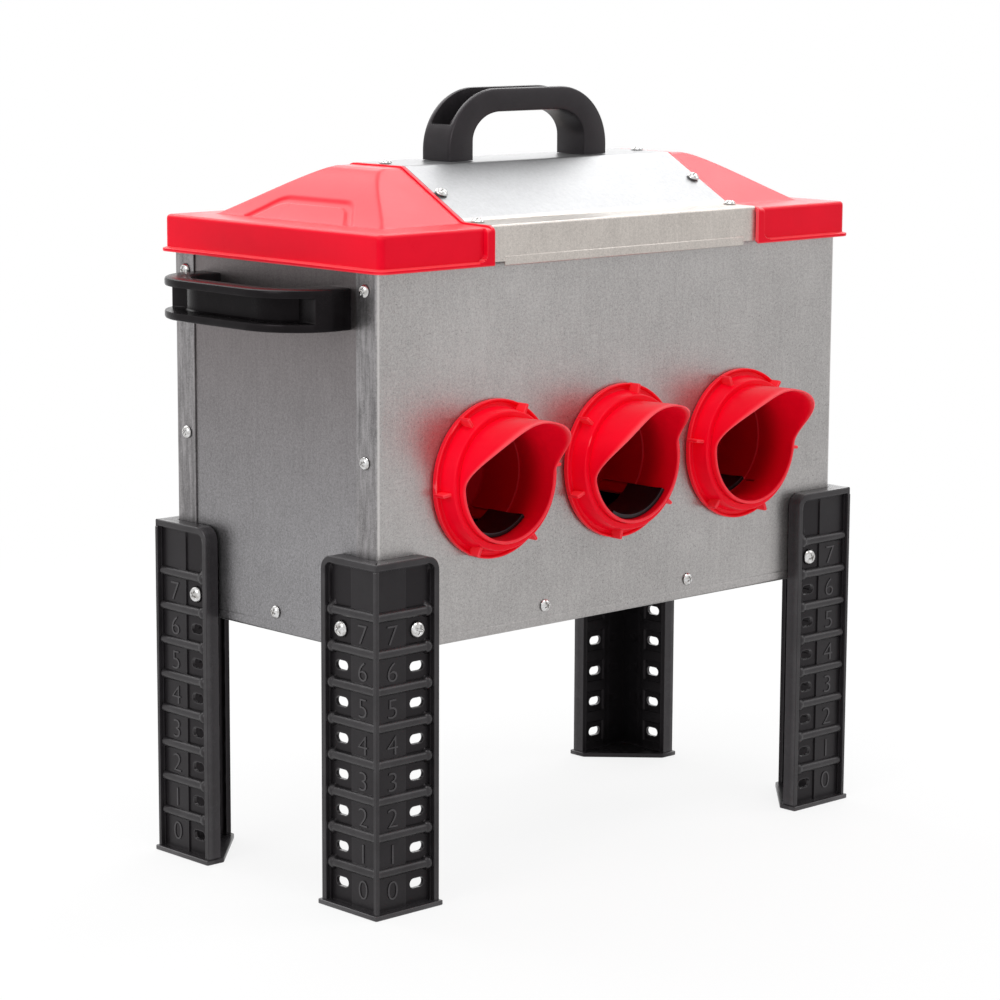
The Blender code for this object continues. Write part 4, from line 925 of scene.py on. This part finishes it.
# Lid end caps
# Two red mouldings, hollow, with a hipped top, a skirt that drops over the hopper and a lip along the skirt's
# foot. A shallow band is sunk in the end slope. The middle sheet laps over a tongue at each cap's inner end.
LID_X = 0.2293
LID_Y = 0.1148
LID_FOOT = 0.432
LEDGE_Z = 0.4577
SLOPE_Z = 0.4583
RIDGE_Z = 0.4929
SLOPE_X = 0.205
SLOPE_Y = 0.088
RIDGE_X = 0.150
RIDGE_Y = 0.026
CAP_END = 0.1303
CAP_ROUND = 0.0045
CAP_EDGE = 0.0028
CAP_WALL = 0.0028
SLOPE_RUN = 0.863
BAND_REACH = 0.0245
BAND_FOOT = 0.0595
BAND_TAPER = 0.917
BAND_SLANT = 0.737
LIP = 0.0031
LIP_FILLET = 0.006
FLANGE_RUN = (0.0078, 0.0068)
TONGUE_END = 0.1183
TONGUE_HALF = 0.111
TONGUE_DROP = 0.0006
MID_Y = (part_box("lid_sheet")[0][1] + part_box("lid_sheet")[1][1]) / 2


def softer_min(first, second, width):
    """The lower of two heights, with the crease between them rounded over a width of difference."""
    share = np.clip(0.5 + (second - first) / (2 * width), 0.0, 1.0)
    return first * share + second * (1 - share) - width * share * (1 - share)


def lid_height(x, y):
    """The cap's top: the flat ridge, the side slope and the end slope, whichever is lowest, with soft hips;
    the ledge outside the foot of the slopes; a sunk band on the end slope; and a thin bead along the sheet.

    The end slope swells toward its top: its rise is s + 0.6 s s (1 - s), with s from its foot to its head.
    """
    x, y = np.abs(x), np.abs(y)
    rise = RIDGE_Z - SLOPE_Z
    side = SLOPE_Z + (SLOPE_Y - y) * rise / (SLOPE_Y - RIDGE_Y)
    way = (SLOPE_X - x) / (SLOPE_X - RIDGE_X)
    end = SLOPE_Z + (way + 0.6 * way ** 2 * np.maximum(1 - way, 0.0)) * rise
    roof = softer_min(softer_min(np.full_like(x, RIDGE_Z), side, 0.0012), end, 0.0020)
    ledge_share = np.minimum((LID_X - x) / (LID_X - SLOPE_X), (LID_Y - y) / (LID_Y - SLOPE_Y))
    ledge = LEDGE_Z + (SLOPE_Z - LEDGE_Z) * ledge_share
    up_slope = (SLOPE_X - x) / SLOPE_RUN
    beside = (BAND_FOOT - y - BAND_TAPER * up_slope) * BAND_SLANT
    inside = softer_min(BAND_REACH - up_slope, beside, 0.006)
    band = smooth(inside, -0.0004, 0.0028) * smooth(inside, 0.0080, 0.0052) * smooth(up_slope, 0.0003, 0.0010)
    bead = smooth(x, CAP_END + 0.0030, CAP_END + 0.0024)
    return -softer_min(-roof, -ledge, 0.0008) - 0.0016 * band + 0.0012 * bead


def cap_patches():
    """The left cap's outer skin: a grid of heights over its plan, with its corner cells drawn onto round
    corners, then rings that go down from the border: the rounded top edge, the skirt, and the lip along its
    foot. The skirt's two ends by the sheet stand out as flanges, which widen in a curve into the lip.
    """
    core_x, core_y, inset = LID_X - CAP_ROUND, LID_Y - CAP_ROUND, CAP_ROUND - CAP_EDGE
    x_lines = lines((-core_x - inset, -core_x, 5), (-core_x, -0.208, 14), (-0.2072, -0.1472, 76),
                    (-0.146, -CAP_END - 0.0078, 7), (-CAP_END - 0.0068, -CAP_END - 0.0032, 4),
                    (-CAP_END - 0.0030, -CAP_END, 7))
    y_lines = lines((-core_y - inset, -core_y, 5), (-core_y, core_y, 212), (core_y, core_y + inset, 5))
    x, y = np.meshgrid(x_lines, y_lines, indexing="ij")
    u = np.maximum(-core_x - x, 0.0) / inset
    v = np.maximum(np.abs(y) - core_y, 0.0) / inset
    x = np.maximum(x, -core_x) - inset * u * np.sqrt(1 - v * v / 2)
    y = np.clip(y, -core_y, core_y) + np.sign(y) * inset * v * np.sqrt(1 - u * u / 2)
    top = grid_of(x, y, lid_height(x, y))
    border = np.concatenate([top[::-1, 0], top[0, 1:-1], top[:, -1]])
    core = np.stack([np.maximum(border[:, 0], -core_x), np.clip(border[:, 1], -core_y, core_y)], axis=-1)
    normal = (border[:, :2] - core) / inset
    straight = np.abs(normal[:, 1]) > 0.999
    from_sheet = np.abs(border[:, 0]) - CAP_END
    skirt_top = LEDGE_Z - CAP_EDGE
    rings = [border]
    for turn in np.linspace(math.pi / 2, 0, 7)[1:]:
        out = CAP_ROUND - CAP_EDGE * (1 - math.cos(turn))
        out = out + LIP * smooth(from_sheet, *FLANGE_RUN) * straight * math.cos(turn)
        x, y = (core + normal * out[:, None]).T
        rings.append(grid_of(x, y, skirt_top + (CAP_EDGE + lid_height(x, y) - LEDGE_Z) * math.sin(turn)))
    for above in lines((0.0, 0.0018, 4), (0.0021, 0.0036, 6), (0.0045, 0.0083, 7),
                       (0.009, skirt_top - LID_FOOT - 0.001, 9))[::-1]:
        curve = 1 - np.clip((above - 0.003) / LIP_FILLET, 0, 1)
        fillet = LIP_FILLET * (1 - math.sqrt(1 - curve ** 2))
        flange = smooth(from_sheet, *(run + fillet for run in FLANGE_RUN)) * straight
        out = CAP_ROUND + LIP * np.maximum(smooth(above, 0.0032, 0.0022), flange) - 0.0004 * (above < 1e-6)
        x, y = (core + normal * out[:, None]).T
        rings.append(grid_of(x, y, LID_FOOT + above))
    rings = np.array(rings)
    return [(top, quads(top)), (rings, quads(rings)[..., ::-1])]


def tongue_patch():
    """The tongue under the sheet: the lid's own height away from its bead, set a little below the sheet."""
    x, y = np.meshgrid(np.linspace(-CAP_END - 0.001, -TONGUE_END, 4),
                       np.linspace(-TONGUE_HALF, TONGUE_HALF, 80), indexing="ij")
    grid = grid_of(x, y, lid_height(np.full_like(x, 0.14), y) - TONGUE_DROP)
    return grid, quads(grid)


# On the caps what faces up is painted paler: a painted highlight on the slopes.
cap_red = red_plastic("red_cap_plastic", (0.83, 0.0012, 0.018), top_highlight=0.45)
cap_parts = cap_patches() + [tongue_patch()]
for end, degrees in (("left", 0), ("right", 180)):
    patches = [(turned_about_z(points, degrees, (0.0, MID_Y, 0.0)), cells) for points, cells in cap_parts]
    cap = new_piece(f"lid_cap_{end}_moulding", patches, cap_red, "lid", (f"lid_cap_{end}",),
                    closed=False, sharp=32)
    walled(cap, CAP_WALL)


# Lid sheet
# One galvanised sheet folded over the ridge, both slopes and both ledges. Its lower edges are hemmed over
# between the caps, and five screws at each end fasten it to the caps' tongues.
SHEET_X = 0.1299
SHEET_FRONT = ((-0.1148, 0.4342), (-0.1148, 0.45894), (-0.088, 0.45954), (-0.026, 0.49414))
SHEET_FOLD = 0.0018
HEM_X = 0.1182
HEM_Z = 0.4346
HEM_INSET = 0.0007
HEM_HALF = (0.0012, 0.0034)
HEM_EDGE = 0.0010


def bent_line(corners, radius, step):
    """Points along a line of straight runs with its corners rounded, no further apart than a step. The two
    arcs that would close the line, of seven points each, are left out."""
    path = np.concatenate([corners[:1], rounded_profile(corners, radius, 6)[7:-7], corners[-1:]])
    filled = [path[:1]]
    for start, end in zip(path, path[1:]):
        count = max(int(np.linalg.norm(end - start) / step), 1)
        filled.append(start + (end - start) * (np.arange(1, count + 1) / count)[:, None])
    return np.concatenate(filled)


# Above the ledge the slopes and ridge take a darker copy of the sheet's tone, painted shade that offsets the
# lamps' reflection there; the lip below keeps the lighter tone.
lid_zinc = galvanised("galvanised_lid_sheet", (0.50, 0.463, 0.43), 0.36, 0.7,
                      ("Z", LEDGE_Z + 0.0020, LEDGE_Z + 0.0046, (0.270, 0.272, 0.277)))
sheet_back = tuple((-y, z) for y, z in SHEET_FRONT[::-1])
profile = bent_line(SHEET_FRONT + sheet_back, SHEET_FOLD, SHEET_STEP)
sheet = grid_of(np.linspace(-SHEET_X, SHEET_X, 66)[:, None], profile[:, 0] + MID_Y, profile[:, 1])
lid_sheet = new_piece("lid_sheet_folded", [(sheet, quads(sheet))], lid_zinc, "lid",
                      ("lid_sheet",), closed=False)
walled(lid_sheet, SHEET)
for face, side in (("front", -1), ("back", 1)):
    y = MID_Y + side * (LID_Y - HEM_INSET)
    hem = rounded_bar((-HEM_X, y, HEM_Z), (HEM_X, y, HEM_Z), (0, 1, 0), (0, 0, 1), HEM_HALF, HEM_EDGE)
    new_piece("lid_hem_" + face, [hem], lid_zinc, "lid")
slope = Vector((0, SLOPE_Z - RIDGE_Z, SLOPE_Y - RIDGE_Y)).normalized()
ledge = Vector((0, LEDGE_Z - SLOPE_Z, LID_Y - SLOPE_Y)).normalized()
for end in ("left", "right"):
    twist += 0.7
    set_screw(f"lid_screw_{end}_ridge", (0, 0, 1), "lid", twist)
    for face, side in (("front", 1), ("back", -1)):
        twist += 1.9
        set_screw(f"lid_screw_{end}_{face}_slope", (0, slope.y * side, slope.z), "lid", twist)
        set_screw(f"lid_screw_{end}_{face}_ledge", (0, ledge.y * side, ledge.z), "lid", twist + 1.0)


# Carry handles
# Black mouldings of channel section, open to the outside between two cheeks and solid at their feet. The
# lid's handle is screwed on from below through the ridge; the side handles stand on the side panels.
LID_HANDLE = (0.0773, 0.0048, 0.0255)
SIDE_HANDLE = (0.080, 0.0056, 0.0275)
HANDLE_FOOT = 0.0225
HANDLE_GRIP = 0.0165
HANDLE_WEB = 0.0034
HANDLE_EDGE = 0.0016


def arch(half, reach, corner):
    """Half an arch from its foot to its middle: a straight leg, a quarter ellipse, and a straight crown."""
    leg = np.linspace(0, reach - corner[1], 10)[:-1]
    turn = np.linspace(0, math.pi / 2, 28)
    crown = np.linspace(half - corner[0], 0, 14)[1:]
    x = np.concatenate([np.full_like(leg, half), half - corner[0] + corner[0] * np.cos(turn), crown])
    z = np.concatenate([leg, reach - corner[1] + corner[1] * np.sin(turn), np.full_like(crown, reach)])
    station = np.linspace(0, len(x) - 1, 150)
    return np.array([np.interp(station, np.arange(len(x)), line) for line in (x, z)])


def handle_patch(sizes, reach, width):
    """The handle as closed U sections along its arch, from half its length, the thickness of its cheeks and
    the height of its solid feet. A section runs between the inner and the outer line of the arch; its channel
    is as deep as the web allows above the foot, and ends there in a steep wall."""
    half, cheek, foot = sizes
    outer = arch(half, reach, (0.046, 0.043))
    inner = arch(half - HANDLE_FOOT, reach - HANDLE_GRIP, (0.027, 0.020))
    length = np.linalg.norm(outer - inner, axis=0)
    open_share = smooth(outer[1], foot - 0.0002, foot + 0.0010)
    floor = 1 - open_share * (1 - HANDLE_WEB / length)
    edge = HANDLE_EDGE / length
    dip = edge * open_share
    crown = 0.99999
    w, c = width / 2, width / 2 - cheek
    half_section = [
        (-w + HANDLE_EDGE, 0.0), (-w + 0.0005, edge * 0.3), (-w, edge), (-w, crown - edge),
        (-w + 0.0005, crown - edge * 0.3), (-w + HANDLE_EDGE, crown), (-c - 0.0012, crown),
        (-c - 0.0003, crown - dip * 0.2), (-c, np.minimum(crown - dip * 0.7, floor + 0.3 * (1 - floor))),
        (-c + 0.0002, floor + dip * 0.6), (-c + 0.0012, floor),
    ]
    rows = []
    for across, share in half_section + [(-across, share) for across, share in half_section[::-1]]:
        x, z = inner + (outer - inner) * share
        rows.append(grid_of(x, across, z))
    grid = np.stack(rows, axis=1)
    grid = capped(np.concatenate([grid, grid[-2::-1] * np.array([-1, 1, 1])]))
    return grid, quads(grid, wrap_columns=True)


handle_black = black_plastic("black_lid_handle_plastic", (0.011, 0.010, 0.011), 0.34, 0.24)
# The side handles' black is a darker copy of the lid handle's: painted shade in their pockets.
side_black = black_plastic("black_side_handle_plastic", (0.0045, 0.0038, 0.0042), 0.24, 0.07)
low, high = np.array(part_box("lid_handle"))
grid, cells = handle_patch(LID_HANDLE, high[2] - low[2], high[1] - low[1])
new_piece("lid_carry_handle", [(grid + np.array([0.0, MID_Y, low[2]]), cells)], handle_black, "lid",
          ("lid_handle",), sharp=34)
for end, side in (("left", -1), ("right", 1)):
    low, high = np.array(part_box("side_handle_" + end))
    grid, cells = handle_patch(SIDE_HANDLE, high[0] - low[0], high[2] - low[2])
    foot = high[0] if side < 0 else low[0]
    placed = grid_of(foot + side * grid[..., 2], MID_Y + grid[..., 0], (low[2] + high[2]) / 2 + grid[..., 1])
    new_piece(f"side_carry_handle_{end}", [(placed, cells)], side_black, "hopper",
              (f"side_handle_{end}",), sharp=34)
for end in ("left", "right"):
    set_screw(f"handle_screw_{end}", (0, 0, -1), "lid", 0.4)


# Floor, light and camera
# A pale floor that takes the feeder's shadow, a white surround, soft lamps above and to both sides, and the
# camera where the photograph was taken from.
FLOOR_HALF = 30.0
FLOOR_Z = -0.0002
CAMERA_TURN = math.radians(-43.268)
CAMERA_TILT = math.radians(9.628)
CAMERA_ROLL = math.radians(0.267)
CAMERA_PLACE = (-1.6000, -1.6850 + MID_Y, 0.6378)
LENS = 115.897
LAMPS = (
    ("lamp_right_behind", (2.0, 0.85, 2.4), 0.4, 1.4, 21),
    ("lamp_behind", (-0.1, 2.2, 2.4), 0.4, 2.2, 34),
    ("lamp_low_behind", (1.84, 1.86, 1.2), 0.45, 1.2, 5),
    ("lamp_right_front", (1.9, -1.3, 1.9), 0.3, 1.2, 9),
    ("lamp_left", (-2.3, -0.2, 1.6), 0.25, 1.2, 19),
    ("lamp_above", (-0.4, -0.7, 2.6), 0.3, 1.1, 20),
)


def seen_directly(nodes):
    """1 for rays from the camera, a reflection or a clear piece, 0 for rays that carry soft light."""
    camera, mirror, clear = (
        nodes.node("LightPath", output=f"Is {ray} Ray") for ray in ("Camera", "Glossy", "Transmission"))
    return camera.math("MAXIMUM", camera.math("MAXIMUM", camera, mirror), clear)


def pale_floor():
    """Matt white paint; seen directly it is mostly its own white, and wholly so away from the feeder."""
    finish = Finish("pale_floor")
    finish.feed("Roughness", 0.9)
    finish.feed("Base Color", (0.86, 0.86, 0.86, 1.0))
    distance = finish.node("VectorMath", {"operation": "LENGTH"}, {0: finish.place}, "Value")
    share = (0.84 + distance.step(0.4, 1.3) * 0.16) * seen_directly(finish)
    paint = Wire(finish, finish.shader.outputs["BSDF"])
    mix = finish.node("MixShader", {}, {"Fac": share, 1: paint, 2: finish.node("Emission")})
    finish.join(mix, finish.tree.nodes["Material Output"].inputs["Surface"])
    return finish.material


mesh = bpy.data.meshes.new("floor")
corners = [(x * FLOOR_HALF, y * FLOOR_HALF, FLOOR_Z) for x, y in ((-1, -1), (1, -1), (1, 1), (-1, 1))]
mesh.from_pydata(corners, [], [(0, 1, 2, 3)])
mesh.materials.append(pale_floor())
floor = add("floor", mesh)

world = bpy.data.worlds.new("surround")
world.use_nodes = True
bpy.context.scene.world = world
surround = Nodes(world.node_tree)
white = surround.tree.nodes["Background"].inputs
white["Color"].default_value = (1.0, 1.0, 1.0, 1.0)
level = surround.node("MapRange", {}, {"Value": seen_directly(surround), "To Min": 0.53, "To Max": 1.0})
surround.join(level, white["Strength"])

for name, place, aim_height, size, power in LAMPS:
    light = bpy.data.lights.new(name, "AREA")
    light.shape = "SQUARE"
    light.size = size
    light.energy = power
    item = add(name, light)
    item.location = place
    item.rotation_euler = (Vector((0, 0, aim_height)) - Vector(place)).to_track_quat("-Z", "Y").to_euler()

camera = bpy.data.cameras.new("camera")
camera.lens = LENS
camera.sensor_width = 36.0
camera.clip_end = 100.0
viewer = add("camera", camera)
viewer.matrix_world = (
    Matrix.Translation(CAMERA_PLACE) @ Matrix.Rotation(CAMERA_TURN, 4, "Z")
    @ Matrix.Rotation(math.pi / 2 - CAMERA_TILT, 4, "X") @ Matrix.Rotation(CAMERA_ROLL, 4, "Z")
)
bpy.context.scene.camera = viewer
bpy.context.scene.view_settings.view_transform = "Standard"
